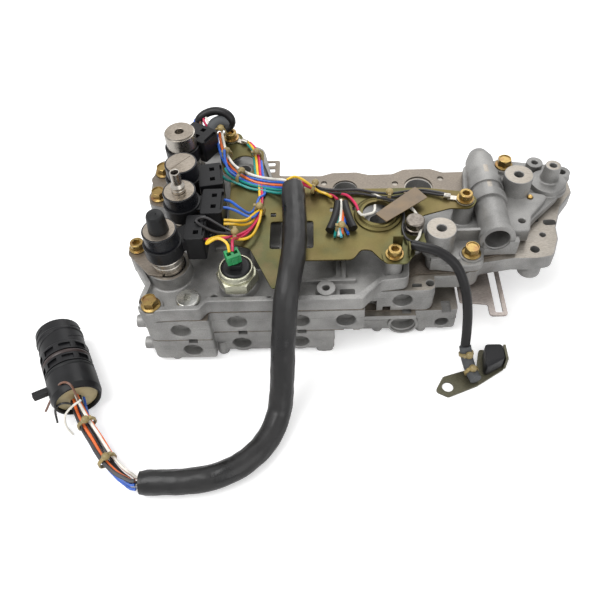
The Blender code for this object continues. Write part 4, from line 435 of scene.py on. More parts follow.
def drilled(x, y, z0, z1, r):
    """Cutter for an upright hole between two heights."""
    return post(x, y, z0, z1, r, 0.0)


def boss(x, y, z0, z1, r, r_top=None, flare=1.6, edge=0.6):
    """Cast boss that flares into the floor it stands on."""
    r_top = r if r_top is None else r_top
    root = [(r + flare * (1 - sin(a)), z0 + flare * (1 - cos(a))) for a in (pi / 2, pi / 3, pi / 6, 0.0)]
    skirt = [(r + flare, z0 - 1.5), (0.0, z0 - 1.5)]
    profile = softened([(0.0, z1), (r_top, z1), root[0]], edge) + root[1:] + skirt
    mesh = turned(profile)
    mesh.transform(Matrix.Translation((x, y, 0)))
    return mesh


def block(low, high, edge=0.4, turn=0.0):
    """Box between two corners with softened edges, turned about its own middle."""
    low, high = Vector(low), Vector(high)
    work = bmesh.new()
    bmesh.ops.create_cube(work, size=1.0)
    bmesh.ops.scale(work, vec=high - low, verts=work.verts)
    if edge > 0:
        bmesh.ops.bevel(work, geom=work.edges[:], offset=edge, segments=2, profile=0.5, affect="EDGES")
    place = Matrix.Translation((low + high) / 2) @ Matrix.Rotation(radians(turn), 4, "Z")
    bmesh.ops.transform(work, matrix=place, verts=work.verts)
    mesh = bpy.data.meshes.new("block")
    work.to_mesh(mesh)
    work.free()
    return mesh


def shifted(mesh, offset, turn=0.0):
    copy = mesh.copy()
    copy.transform(Matrix.Translation(offset) @ Matrix.Rotation(radians(turn), 4, "Z"))
    return copy


def combined(base, *steps):
    """Mesh of a base after (operation, meshes) steps, each one Boolean with all its meshes."""
    made = bpy.data.objects.new("base", base)
    bpy.context.scene.collection.objects.link(made)
    holders = []
    for operation, meshes in steps:
        holder = bpy.data.collections.new("operands")
        bpy.context.scene.collection.children.link(holder)
        holders.append(holder)
        for mesh in meshes:
            holder.objects.link(bpy.data.objects.new("operand", mesh))
        step = made.modifiers.new(operation.lower(), "BOOLEAN")
        step.operation = operation
        step.operand_type = "COLLECTION"
        step.solver = "EXACT"
        step.collection = holder
    bpy.context.view_layer.update()
    mesh = mesh_of(made)
    for holder in holders:
        for cutter in list(holder.objects):
            bpy.data.objects.remove(cutter, do_unlink=True)
        bpy.data.collections.remove(holder)
    return mesh


def joined(*meshes):
    """One mesh of separate shells; the place of each in the list is its material."""
    work = bmesh.new()
    for i, mesh in enumerate(meshes):
        start = len(work.faces)
        work.from_mesh(mesh)
        work.faces.ensure_lookup_table()
        for face in work.faces[start:]:
            face.material_index = i
    mesh = bpy.data.meshes.new("joined")
    work.to_mesh(mesh)
    work.free()
    return mesh


def one_finish(mesh):
    """The mesh with its first finish on every face."""
    for face in mesh.polygons:
        face.material_index = 0
    return mesh


SHARP_ANGLE = radians(32)


def piece(name, mesh, finishes, replaces=None, body=ROOT, where=None):
    """A finished piece in metres that rides on a body and stands for CAD nodes."""
    finishes = finishes if isinstance(finishes, (list, tuple)) else [finishes]
    if where is not None:
        for face in mesh.polygons:
            face.material_index = where(face.center, face.normal)
    mesh.transform(Matrix.Scale(MM, 4))
    made = bpy.data.objects.new(name, mesh)
    bpy.context.scene.collection.objects.link(made)
    indices = [face.material_index for face in mesh.polygons]
    mesh.materials.clear()
    for finish in finishes:
        mesh.materials.append(finish)
    mesh.polygons.foreach_set("material_index", indices)
    mesh.shade_smooth()
    mesh.set_sharp_from_angle(angle=SHARP_ANGLE)
    normals = made.modifiers.new("normals", "WEIGHTED_NORMAL")
    normals.keep_sharp = True
    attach(made, body)
    if replaces:
        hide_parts(replaces)
    return made


def smooth_route(points, spacing):
    """Points every so often along a smooth curve through the given ones."""
    knots = [Vector(p) for p in points]
    knots = [knots[0] * 2 - knots[1]] + knots + [knots[-1] * 2 - knots[-2]]
    fine = []
    for a, b, c, d in zip(knots, knots[1:], knots[2:], knots[3:]):
        for k in range(12):
            t = k / 12
            fine.append(0.5 * (2 * b + (c - a) * t + (2 * a - 5 * b + 4 * c - d) * t ** 2
                               + (3 * b - a - 3 * c + d) * t ** 3))
    fine.append(knots[-2])
    total = sum((q - p).length for p, q in zip(fine, fine[1:]))
    count = max(2, round(total / spacing))
    out, run, goal = [fine[0]], 0.0, total / count
    for p, q in zip(fine, fine[1:]):
        step = (q - p).length
        while run + step >= goal * len(out) - 1e-9 and len(out) < count:
            out.append(p.lerp(q, (goal * len(out) - run) / step))
        run += step
    out.append(fine[-1])
    return out


def frames_along(route):
    """For each point of a route: the point, its heading, a level side and an upward normal."""
    out = []
    side = None
    for i, point in enumerate(route):
        heading = (route[min(i + 1, len(route) - 1)] - route[max(i - 1, 0)]).normalized()
        if side is None:
            side = heading.cross(Vector((0, 0, 1)))
            side = side.normalized() if side.length > 0.05 else Vector((1, 0, 0))
        side = (side - heading * side.dot(heading)).normalized()
        out.append((point, heading, side, side.cross(heading).normalized()))
    return out


def skinned(route, radius_at, sides):
    """Closed tube mesh; radius_at(share along, angle) gives its radii across and upwards."""
    verts, faces = [], []
    stations = frames_along(route)
    for i, (point, _, side, up) in enumerate(stations):
        for k in range(sides):
            a = 2 * pi * k / sides
            across, rise = radius_at(i / (len(stations) - 1), a)
            verts.append(point + side * (cos(a) * across) + up * (sin(a) * rise))
    rings = len(stations)
    for i in range(rings - 1):
        for k in range(sides):
            n = (k + 1) % sides
            faces.append((i * sides + k, i * sides + n, (i + 1) * sides + n, (i + 1) * sides + k))
    faces.append(tuple(range(sides)))
    faces.append(tuple(reversed(range((rings - 1) * sides, rings * sides))))
    mesh = bpy.data.meshes.new("tube")
    mesh.from_pydata(verts, [], faces)
    return clean(mesh, 0.0002)


def tube(route, r, sides):
    return skinned(route, lambda share, angle: (r, r), sides)


# Cords: the main harness to its round connector, and the short lead to the speed sensor

SLEEVE_R = 9.2
SLEEVE_Z = 88.5
MAIN_ROUTE = ((-5, 31, SLEEVE_Z), (-4.2, 14, SLEEVE_Z), (-3.4, -6, SLEEVE_Z), (-3.2, -26, SLEEVE_Z),
              (-4.4, -44, 88.9), (-6.4, -58.5, 86.6), (-8.6, -70, 79), (-10.2, -78.3, 68.5),
              (-11.5, -86, 57), (-12.6, -94.5, 44.8), (-13.4, -102.5, 33), (-14.6, -111.5, 21.5),
              (-17, -122, 12.6), (-23.5, -137.5, 9.5), (-35, -152, 9.5), (-52, -163, 9.5),
              (-75.5, -168.5, 9.5), (-109, -169.3, 9.5))
BUNDLE_R = 6.0
BUNDLE_ROUTE = ((-111.8, -169.3, 9.5), (-115, -169, 9.5), (-117.4, -167.2, 9.7), (-125, -162.5, 10.6),
                (-134, -153.5, 12.2), (-143, -140.5, 14), (-151.5, -128.4, 16.2), (-157.6, -118, 17.8),
                (-162, -108.9, 18.4))
BUNDLE_WIRES = ("black", "blue", "black", "orange", "white", "blue", "white", "black", "blue", "orange",
                "black")
LOOSE_WIRES = (
    ("brown", ((-160, -113, 20), (-156, -116.5, 31), (-160, -110.5, 40), (-169, -107.5, 36),
               (-181, -109.5, 18), (-189, -112, 5))),
    ("black", ((-162, -113.5, 17), (-170, -115, 22), (-176.5, -117, 17), (-178, -121.3, 5))),
    ("white", ((-159, -113.5, 24), (-153, -119.5, 33), (-158.5, -121.5, 30), (-170, -119.5, 13),
               (-171, -124, 5), (-165.4, -129.9, 2.6))),
)
STRAND_R, STRAND_TWIST, STRAND_WANDER = 1.15, 0.3, 0.5
LOOSE_WIRE_R = 0.8
CONNECTOR_BASE = Vector((-161.0, -111.0, 18.4))
CONNECTOR_TOP = Vector((-190.0, -51.0, 18.4))
CONNECTOR_R = 18.0
WINDOW_ROWS = (30.0, 41.0)
SEAL_ROWS = (34.6, 45.6)
SEAM_CLIMB, SEAM_STEPS = 10.0, 24
TIE_WIDTH = 2.6
LEAD_R = 3.5
LEAD_ROUTE = ((79.4, -27.6, 84.2), (86, -30.4, 84.6), (97, -34.5, 84), (109, -42, 77.5),
              (116, -51.5, 64), (119, -59.5, 48), (120, -65.5, 32), (120, -70, 20.5))
LEAD_SLEEVE_R = 4.4
LEAD_SLEEVE_ROUTE = ((120, -70.6, 19.4), (121.5, -76, 12.5), (124, -84, 7.6), (126.5, -92, 7.2))


def sleeve_radius(share, angle):
    """Shrink sleeve: crimped over the loom, drawn in at its step, wrinkled along its length."""
    wave = noise.noise(Vector((share * 46.0, cos(angle) * 1.3, sin(angle) * 1.3)))
    crease = abs(noise.noise(Vector((share * 14.0, cos(angle) * 2.6 + 7.0, sin(angle) * 2.6))))
    r = SLEEVE_R - 0.55 + 0.35 * wave - 0.9 * max(0.0, 0.35 - crease)
    lip = 1.0 - 0.1 * max(0.0, 1.0 - share / 0.03)
    step = 0.35 * min(1.0, max(0.0, (0.27 - share) / 0.02))
    end = 0.9 * max(0.0, (share - 0.985) / 0.015)
    across = (r + step) * lip - end
    return across, (r - step * 0.6) * lip - end


def build_main_cord():
    route = smooth_route(MAIN_ROUTE, 2.2)
    sleeve = piece("harness_sleeve", skinned(route, sleeve_radius, 40), SLEEVE,
                   "main_sleeve")
    bundle_route = smooth_route(BUNDLE_ROUTE, 2.5)
    strands = []
    count = len(BUNDLE_WIRES)
    for k in range(count):
        ring = 0.0 if k == 0 else 2.5 if k < 5 else 4.5
        phase = 2 * pi * k / (4 if k < 5 else count - 5) + k
        strands.append(tube(strand(bundle_route, ring, phase, k), STRAND_R, 8))
    bundle = piece("harness_wires", joined(*strands), [WIRES[c] for c in BUNDLE_WIRES],
                   "conductor_bundle")
    connector = build_connector()
    loose_tubes = [tube(smooth_route(p, 2.0), LOOSE_WIRE_R, 8) for _, p in LOOSE_WIRES]
    loose = piece("harness_loose_wires", joined(*loose_tubes), [WIRES[c] for c, _ in LOOSE_WIRES])
    ties = [tie("harness_tie_1", bundle_route, 0.32, BUNDLE_R - 0.2),
            tie("harness_tie_2", bundle_route, 0.72, BUNDLE_R - 0.2)]


def strand(route, radius, phase, seed):
    """Route of one wire that winds slowly round a bundle's middle."""
    out = []
    stations = frames_along(route)
    for i, (point, _, side, up) in enumerate(stations):
        t = i / (len(stations) - 1)
        a = phase + STRAND_TWIST * 2 * pi * t
        drift = noise.noise(Vector((t * 4.0, seed * 3.7, 0.0))) * STRAND_WANDER
        out.append(point + side * ((radius + drift) * cos(a)) + up * ((radius + drift) * sin(a)))
    return out


def tie(name, route, share, r, head=0.0):
    """Cable tie round a bundle: a strap, its lock head and the cut tail."""
    stations = frames_along(route)
    point, heading, side, up = stations[round(share * (len(stations) - 1))]
    inner, outer, half = r + 0.1, r + 1.1, TIE_WIDTH / 2
    strap = turned(softened([(inner, half), (outer, half), (outer, -half), (inner, -half), (inner, half)],
                            0.25), 32)
    lock = turned(softened([(0.0, 4.0), (1.9, 3.6), (3.0, 1.9), (2.6, 0.2), (0.0, -0.2)], 0.8, 3), 24)
    lock.transform(Matrix.Translation((0, r, 0)) @ Matrix.Rotation(radians(-90), 4, "X"))
    tail = block((2.0, r + 1.2, -1.2), (4.6, r + 2.2, 1.2), 0.2)
    mesh = one_finish(joined(strap, lock, tail))
    turn = Matrix((side, up, heading)).transposed().to_4x4()
    mesh.transform(Matrix.Translation(point) @ turn @ Matrix.Rotation(radians(head), 4, "Z"))
    return piece(name, mesh, TIE)


def build_connector():
    """Round bulkhead connector: shell with slanting seams, two seals in grooves, rows of windows."""
    r, top = CONNECTOR_R, (CONNECTOR_TOP - CONNECTOR_BASE).length
    profile = [(0.0, top), (r - 2.2, top), (r - 1.4, top - 1.0), (r - 1.2, top - 8.0), (r - 0.6, top - 8.6),
               (r - 0.6, top - 10.4), (r - 1.2, top - 11.0), (r - 1.0, top - 23.0), (r - 0.2, top - 24.0),
               (r - 0.2, top - 31.0), (r - 2.4, top - 31.0), (r - 2.4, top - 35.0), (r - 0.2, top - 35.0),
               (r - 0.2, top - 42.0), (r - 2.4, top - 42.0), (r - 2.4, top - 46.0), (r, top - 46.0),
               (r, 4.0), (r - 1.5, 0.0), (r - 3.0, 0.0), (r - 3.0, 6.0), (0.0, 6.0)]
    shell = turned(softened(profile, 0.3), 64)
    seams = [seam(top - 19.0 + 5.0 * (k % 2), 60 * k) for k in range(6)]
    arm = aimed_out(block((-2.6, r - 4.0, 15.0), (2.6, r + 11.0, 20.0), 0.6), -90.0)
    windows = [aimed_out(block((-4.2, r - 2.0, h), (4.2, r + 2.0, h + 4.6), 0.0), 40 * k + 15)
               for h in (top - row for row in WINDOW_ROWS) for k in range(9)]
    seals = [turned(softened([(r - 2.5, h + 3.2), (r - 0.6, h + 3.2), (r - 0.05, h + 1.6), (r - 0.6, h),
                              (r - 2.5, h), (r - 2.5, h + 3.2)], 0.5),
                              64) for h in (top - row for row in SEAL_ROWS)]
    shell = combined(shell, ("UNION", [arm]), ("DIFFERENCE", windows))
    insert = turned(softened([(0.0, 5.7), (r - 3.3, 5.7), (r - 3.3, 3.0), (0.0, 3.0)], 0.3), 48)
    shell = one_finish(joined(shell, *seams))
    for mesh in (shell, insert, *seals):
        aimed(mesh, CONNECTOR_BASE, CONNECTOR_TOP)
    return [piece("connector_housing", shell, BLACK, "connector_shell"),
            piece("connector_seal_1", seals[0], SEAL),
            piece("connector_seal_2", seals[1], RUBBER),
            piece("connector_core", insert, TAN, "connector_insert")]


def seam(height, degrees):
    """Slanting mould seam that climbs a third of the way round the housing's upper half."""
    r = CONNECTOR_R - 1.25
    angles = [radians(degrees + 120 * k / SEAM_STEPS) for k in range(SEAM_STEPS + 1)]
    return tube([Vector((r * cos(a), r * sin(a), height + SEAM_CLIMB * k / SEAM_STEPS))
                 for k, a in enumerate(angles)], 0.45, 6)


def aimed_out(mesh, degrees):
    mesh.transform(Matrix.Rotation(radians(degrees), 4, "Z"))
    return mesh


def build_sensor_cord():
    route = smooth_route(LEAD_ROUTE, 3.0)
    lead = piece("sensor_lead", tube(route, LEAD_R, 20), CABLE, "lead_cable")
    sleeve_route = smooth_route(LEAD_SLEEVE_ROUTE, 2.0)
    sleeve = piece("sensor_lead_sleeve", tube(sleeve_route, LEAD_SLEEVE_R, 20), GREY,
                   "lead_sleeve")
    bracket = flat(rounded([(97, -98, 3), (106, -103, 3), (128, -94, 3), (150, -80, 3), (152, -66, 3),
                            (134, -62, 3), (130, -78, 3), (104, -86, 3)]), 0.0, 2.0,
                            [circle(106.5, -94.5, 4.2)], 0.25)
    fold = block((149.6, -79, 0.2), (151.6, -66, 14), 0.4)
    bracket = piece("sensor_bracket_plate", combined(bracket, ("UNION", [fold])), OLIVE,
                    "sensor_bracket")
    body = flat(rounded([(133, -87.5, 3), (149, -78.5, 3), (149, -66, 3), (136, -66, 3)]), 2.3, 15.0,
                edge=1.0)
    nose = rod((141, -74, 14.5), (141, -74, 14.9), 4.6)
    sensor = piece("speed_sensor_body", joined(body, nose), [BLACK, FACED], "speed_sensor")
    ties = [tie("lead_tie_1", sleeve_route, 0.2, LEAD_SLEEVE_R),
            tie("lead_tie_2", sleeve_route, 0.75, LEAD_SLEEVE_R)]


# Heights of the castings and places shared by several pieces

PAD_BASE = 4.5
LOWER_TOP = 26.7
SHEET_T = 0.9
MIDDLE_Z = 28.2
MIDDLE_TOP = 51.0
WING_Z = 38.0
UPPER_Z = 52.5
DECK_TOP = 60.0
RIM_TOP = 65.0
COLLAR_TOP = 72.0
PLATE_Z = 77.8
PLATE_TOP = 79.0
PAD_TOP = 80.0
CLASP_Z = 85.5
SEAT = 0.3
LEFT_X, COLUMN_X, RIGHT_X, BLOCK_X = -102.0, -114.0, 118.0, 99.0
FRONT_Y, NOSE_Y, NOSE_X, SET_BACK_Y, BACK_Y = -60.0, -67.0, -66.0, -43.0, 78.0
LOWER_STEP_X, MIDDLE_STEP_X = 24.0, 46.0
BORE_R = 7.15
PLUG_INSET, PLUG_T = 7.0, 5.0
HEX_BOLTS = {"front_left": (-106, -60, 62.4), "front_right": (126, -16, 61),
             "back_right": (166, 78, 62.5), "back_left": (-119, 92, 52.5), "mid_left": (-119, 62, 52.5)}
SOCKET_BOLTS = {"left_ear": (-119.5, -15, 74.1), "plate_back": (-58, 101, 80.6),
                "plate_right": (124, 21, 80.6), "plate_front": (67, -33, 80.6)}
BORES = {
    "upper_1": ("middle", -88, 39.6, BORE_R, NOSE_Y, 62, False),
    "upper_2": ("middle", -47.2, 39.6, BORE_R, FRONT_Y, 62, True),
    "upper_3": ("middle", -1, 39.6, BORE_R, FRONT_Y, 62, True),
    "upper_4": ("middle", 32.4, 39.6, BORE_R, FRONT_Y, 62, True),
    "upper_5": ("middle", 75, 39.6, BORE_R, SET_BACK_Y, 62, True),
    "lower_1": ("lower", -83, 14.6, BORE_R, NOSE_Y, 62, False),
    "lower_2": ("lower", -46.4, 12.6, BORE_R, FRONT_Y, 62, False),
    "lower_3": ("lower", -2.2, 13.4, BORE_R, FRONT_Y, 62, True),
    "lower_4": ("lower", 77, 12.2, 9, SET_BACK_Y, 42, False),
    "lower_5": ("lower", 107, 12, 5.2, SET_BACK_Y, 30, False),
}
KEYED = ("lower_1", "lower_2", "lower_3", "upper_4", "lower_4", "lower_5")
SOLENOIDS = {1: (-95, -30, 108), 2: (-86, 9.5, 107), 3: (-88, 38, 108.5), 4: (-93, 73.5, 110)}
PLATE_POSTS = ((-58, 101), (67, -33), (124, 21), (-30, -20.5), (36, 28))
PADS = ((103, -8), (169, 47))
CYL_X, CYL_Z, CYL_R, CYL_FRONT, CYL_BACK = 145.0, 68.0, 12.0, -10.0, 86.0
SWITCH_X, SWITCH_Y, SWITCH_SEAT = -44.5, -42.0, 67.0
GALLERY_X, GALLERY_Y, GALLERY_TOP = -80.5, -54.0, 63.0
CHECK_X, CHECK_Y, CHECK_SEAT, CHECK_TOP = 83.5, -6.5, 68.5, 88.0
HANG_X, HANG_Y = 177.0, -5.0
PIN_X, PIN_Y = 179.0, 38.0
MANUAL_Y, MANUAL_Z = 9.0, 13.5
BOLT_HOLE_R = 3.4
CASE_HOLE_R = 3.5
HEX_BOSS_R = 8.6
PIN_LEDGE = UPPER_Z + 11.5
TUBE_TOP = UPPER_Z + 26


def bore_cuts(casting):
    cuts = []
    for where, x, z, r, mouth, depth, sprung in BORES.values():
        if where != casting:
            continue
        cuts.append(bore((x, mouth, z), (0, 1, 0), PLUG_INSET, r, 0.7))
        if sprung:
            start = mouth + PLUG_INSET + PLUG_T
            cuts += [
                rod((x, start, z), (x, mouth + depth, z), r, edge=0.0),
                rod((x, mouth, z), (x, start + 2, z), 2.2, edge=0.0)]
        else:
            cuts.append(rod((x, mouth, z), (x, mouth + PLUG_INSET + 1.6, z), r * 0.5, edge=0.0))
    return cuts


def key_cuts(z0, z1):
    cuts = []
    for name in KEYED:
        _, x, _, _, mouth, _, _ = BORES[name]
        cuts.append(block((x - 1.4, mouth - 2, z0), (x + 5.4, mouth + 9, z1), 0.0))
    return cuts


def nose_corners(i):
    """Left end and nose that castings and sheets share, drawn in by i."""
    return [(LEFT_X + i, -46, 3), (COLUMN_X + i, -52, 5), (COLUMN_X + i, NOSE_Y + i, 7),
            (NOSE_X - i, NOSE_Y + i, 2), (NOSE_X - i, FRONT_Y + i, 1)]


def lower_outline(i=0.0):
    return rounded([
        *nose_corners(i), (LOWER_STEP_X - i, FRONT_Y + i, 2), (LOWER_STEP_X - i, SET_BACK_Y + i, 3),
        (RIGHT_X - i, SET_BACK_Y + i, 4), (RIGHT_X - i, 20 - i, 6), (100 - i, 34 - i, 8),
        (98 - i, 64 - i, 12), (60 - i, BACK_Y - i, 10), (-70 + i, BACK_Y - i, 10),
        (LEFT_X + i, 60 - i, 12)])


def middle_outline(i=0.0):
    return rounded([
        *nose_corners(i), (MIDDLE_STEP_X - i, FRONT_Y + i, 2), (MIDDLE_STEP_X - i, SET_BACK_Y + i, 2),
        (BLOCK_X - i, SET_BACK_Y + i, 8), (BLOCK_X - i, 60 - i, 4), (120 - i, 64, 4),
        (120 - i, BACK_Y + 4 - i, 6), (-28 + i, BACK_Y + 4 - i, 6), (-34, 112 - i, 10), (-62, 118 - i, 12),
        (-104, 112 - i, 10), (-127 + i, 104, 9), (-128 + i, 80, 8), (-127 + i, 54, 8), (LEFT_X + i, 46, 8)])


def on_top(height, spread=0.3):
    """Picks the milled finish for level faces at a given height."""
    def pick(centre, normal):
        if abs(normal.z) > 0.98 and any(abs(centre.z - h) < spread for h in height):
            return 1
        return 0
    return pick


def build_lower_casting():
    base = flat(lower_outline(), PAD_BASE, LOWER_TOP, edge=0.7)
    raised = [flat(rounded_box(-62, -34, 66, 58, 12), 0.0, PAD_BASE + 5, edge=0.3),
              flat(lower_outline(-0.3), 15.2, 16.0, edge=0.25)]
    for where, x, z, r, mouth, depth, _ in BORES.values():
        if where == "lower":
            outer = min(r + 2.6, z)
            raised.append(rod((x, mouth - (2.0 if r > BORE_R else 0.2), z), (x, mouth + depth + 4, z),
                              outer, edge=0.8))
    for x, y, r in ((-98, -61, 4.6), (-62, -57, 4.6), (16, -53, 7.5), (58, -38.5, 4.3), (92, -39, 4.3),
                    (-92, 40, 6), (84, 52, 6)):
        raised.append(post(x, y, 0, 15, r, 1.0))
    raised += [
        flat(rounded_box(10, -60, 23, -46, 3), 0.0, 12, edge=0.6),
        rod((-121, -57, 12), (-100, -57, 12), 4.8, edge=1.0),
        block((LOWER_STEP_X - 1, SET_BACK_Y - 4.5, LOWER_TOP - 4), (86, SET_BACK_Y + 2, LOWER_TOP), 0.5),
        rod((96, MANUAL_Y, MANUAL_Z), (RIGHT_X + 1.5, MANUAL_Y, MANUAL_Z), 8.6, edge=0.5)]
    cuts = bore_cuts("lower") + key_cuts(LOWER_TOP - 2.4, LOWER_TOP + 5)
    cuts += [
        bore((RIGHT_X + 1.5, MANUAL_Y, MANUAL_Z), (-1, 0, 0), RIGHT_X + 1.5 - 42, 6.06, 0.5),
        drilled(*PADS[0], -1, LOWER_TOP + 1, CASE_HOLE_R)]
    for x, y, w, d in ((-40, 8, 26, 14), (-2, 8, 24, 16), (34, 8, 22, 14), (-40, 36, 22, 14),
                       (-4, 38, 20, 12), (32, 38, 24, 12)):
        cuts.append(flat(rounded_box(x - w / 2, y - d / 2 + 12, x + w / 2, y + d / 2 + 8, 4), -1, 3.2,
                         edge=0.0))
    mesh = combined(base, ("UNION", raised), ("DIFFERENCE", cuts))
    piece("lower_casting", mesh, [CAST, MILLED], "lower_body",
          where=on_top((0.0, LOWER_TOP)))


def build_lower_sheet():
    i = 0.5
    outline = rounded([
        *nose_corners(i), (LOWER_STEP_X + 20, FRONT_Y + i, 2), (LOWER_STEP_X + 20, SET_BACK_Y + i, 3),
        (BLOCK_X, SET_BACK_Y + i, 6), (BLOCK_X, 62, 12), (60, BACK_Y - i, 10), (-70, BACK_Y - i, 10),
        (LEFT_X + i, 58, 12)])
    mesh = flat(outline, LOWER_TOP + SEAT, LOWER_TOP + SEAT + SHEET_T, edge=0.12)
    mesh = combined(mesh, ("DIFFERENCE", key_cuts(LOWER_TOP - 2, LOWER_TOP + 4)))
    piece("lower_separator", mesh, SHEET, "lower_separator_plate")


def wing_outline():
    return rounded([
        (88, -30, 6), (120, -30, 8), (136, -18, 8), (160, -14, 8), (HANG_X, -14.5, 9), (190, -12, 7),
        (197, 6, 4), (198, 18, 4), (206, 39, 6), (219, 56, 6), (219, 78, 10), (196, 92, 10), (150, 90, 8),
        (130, BACK_Y + 4, 6), (88, BACK_Y + 4, 2)])


def build_middle_casting():
    base = flat(middle_outline(), MIDDLE_Z, MIDDLE_TOP, edge=0.7)
    raised = [flat(wing_outline(), WING_Z, MIDDLE_TOP, edge=0.9),
              flat(middle_outline(-0.3), 42.0, 42.8, edge=0.25),
              post(HANG_X, HANG_Y, WING_Z - 11, MIDDLE_TOP, 8.8, 1.0),
              post(126, -16, 33.1, MIDDLE_TOP, HEX_BOSS_R, 0.8),
              rod((-121, -57, 40), (-100, -57, 40), 4.8, edge=1.0)]
    cuts = bore_cuts("middle") + key_cuts(MIDDLE_Z - 2, MIDDLE_Z + 1)
    cuts.append(drilled(HANG_X, HANG_Y, 0, MIDDLE_TOP + 5, 3.6))
    for x, y, r, depth in ((183.7, 26, 2.2, 6), (186, 10, 2.4, 9), (94.7, -35.7, 3.0, 12),
                           (36, 66, 9.5, 18), (96.4, 66, 10.5, 18)):
        cuts.append(sunk(x, y, MIDDLE_TOP, depth, r, 0.3))
    cuts += [
        flat(rounded_box(189, 20, 199, 26, 2.8), MIDDLE_TOP - 8, MIDDLE_TOP + 2, edge=0.0),
        block((81.5, -39.3, 46), (88.5, -36.0, MIDDLE_TOP + 2), 0.0),
        block((60.5, SET_BACK_Y - 2, MIDDLE_Z - 1), (66.5, SET_BACK_Y + 7, MIDDLE_Z + 5), 0.0),
        flat(rounded_box(47, -50, 56, -36, 3), MIDDLE_Z - 1, MIDDLE_Z + 12, edge=0.0)]
    for x, y, _ in HEX_BOLTS.values():
        cuts.append(drilled(x, y, MIDDLE_TOP - 14, MIDDLE_TOP + 1, BOLT_HOLE_R))
    for x, y in PADS:
        cuts.append(drilled(x, y, MIDDLE_Z - 5, MIDDLE_TOP + 1, CASE_HOLE_R))
    mesh = combined(base, ("UNION", raised), ("DIFFERENCE", cuts))
    piece("middle_casting", mesh, [CAST, MILLED], "middle_body",
          where=on_top((MIDDLE_Z, MIDDLE_TOP)))


def separator_outline():
    i = 0.5
    return rounded([
        *nose_corners(i), (MIDDLE_STEP_X - i, FRONT_Y + i, 2), (MIDDLE_STEP_X - i, SET_BACK_Y + i, 2),
        (66, -42.5, 4), (84, -28, 4), (132, -26, 6), (136, -14, 5), (162, -8, 6), (170, 14, 5),
        (196, 40, 8), (212, 58, 6), (210, 80, 8), (160, 90, 8), (134, 83, 6), (118, 83, 6), (108, 88, 8),
        (86, 88, 8), (76, 82.5, 8), (56, 82.5, 6), (46, 86, 8), (26, 86, 8), (16, 82.5, 8), (-19, 84, 2),
        (-19, 104, 2.5), (-33, 104, 2.5), (-34, 112, 6), (-62, 118, 12), (-104, 112, 10), (-127, 106, 9),
        (-126, 92, 5), (-129, 84, 5), (-125, 74, 5), (-128, 64, 6), (-126, 54, 6), (-101.5, 46, 8)])


def build_upper_sheet():
    holes = [circle(*h) for h in ((35.9, 66, 10.3), (96.4, 67, 11.6), (77.5, 71, 2.6), (115.4, 75.5, 2.6),
                                  (18.5, 73.5, 2.6), (-8.0, 76, 2.8))]
    holes += [rounded_box(-30, 97.0, -23, 101.5, 1.2), rounded_box(-30, 89, -23, 93.5, 1.2)]
    holes += [circle(x, y, BOLT_HOLE_R) for x, y, _ in HEX_BOLTS.values()]
    holes += [circle(x, y, CASE_HOLE_R) for x, y in PADS]
    z = MIDDLE_TOP + SEAT
    piece("upper_separator", flat(separator_outline(), z, z + SHEET_T, holes, 0.12), SHEET,
          "upper_separator_plate")


def left_deck_outline(i=0.0):
    return rounded([
        (-114.5 + i, -54, 5), (-114.5 + i, NOSE_Y - 1.5 + i, 7), (-90, NOSE_Y + i, 4), (-71, NOSE_Y + i, 4),
        (-66, FRONT_Y + i, 4), (44 - i, FRONT_Y + i, 4), (58, -44 + i, 6), (78 - i, -42 + i, 6),
        (79 - i, -26, 5), (86 - i, 0, 3), (86 - i, 24 - i, 4), (60, 44 - i, 8), (18, 54 - i, 8),
        (-22, 60 - i, 8), (-32 - i, 106 - i, 12), (-62, 115 - i, 12), (-98, 104 - i, 12),
        (-110 + i, 90, 8), (-109 + i, 60, 8), (-105 + i, 14, 8), (-122 + i, -3, 7), (-129 + i, -12, 7),
        (-122 + i, -25, 7), (-112 + i, -42, 5)])


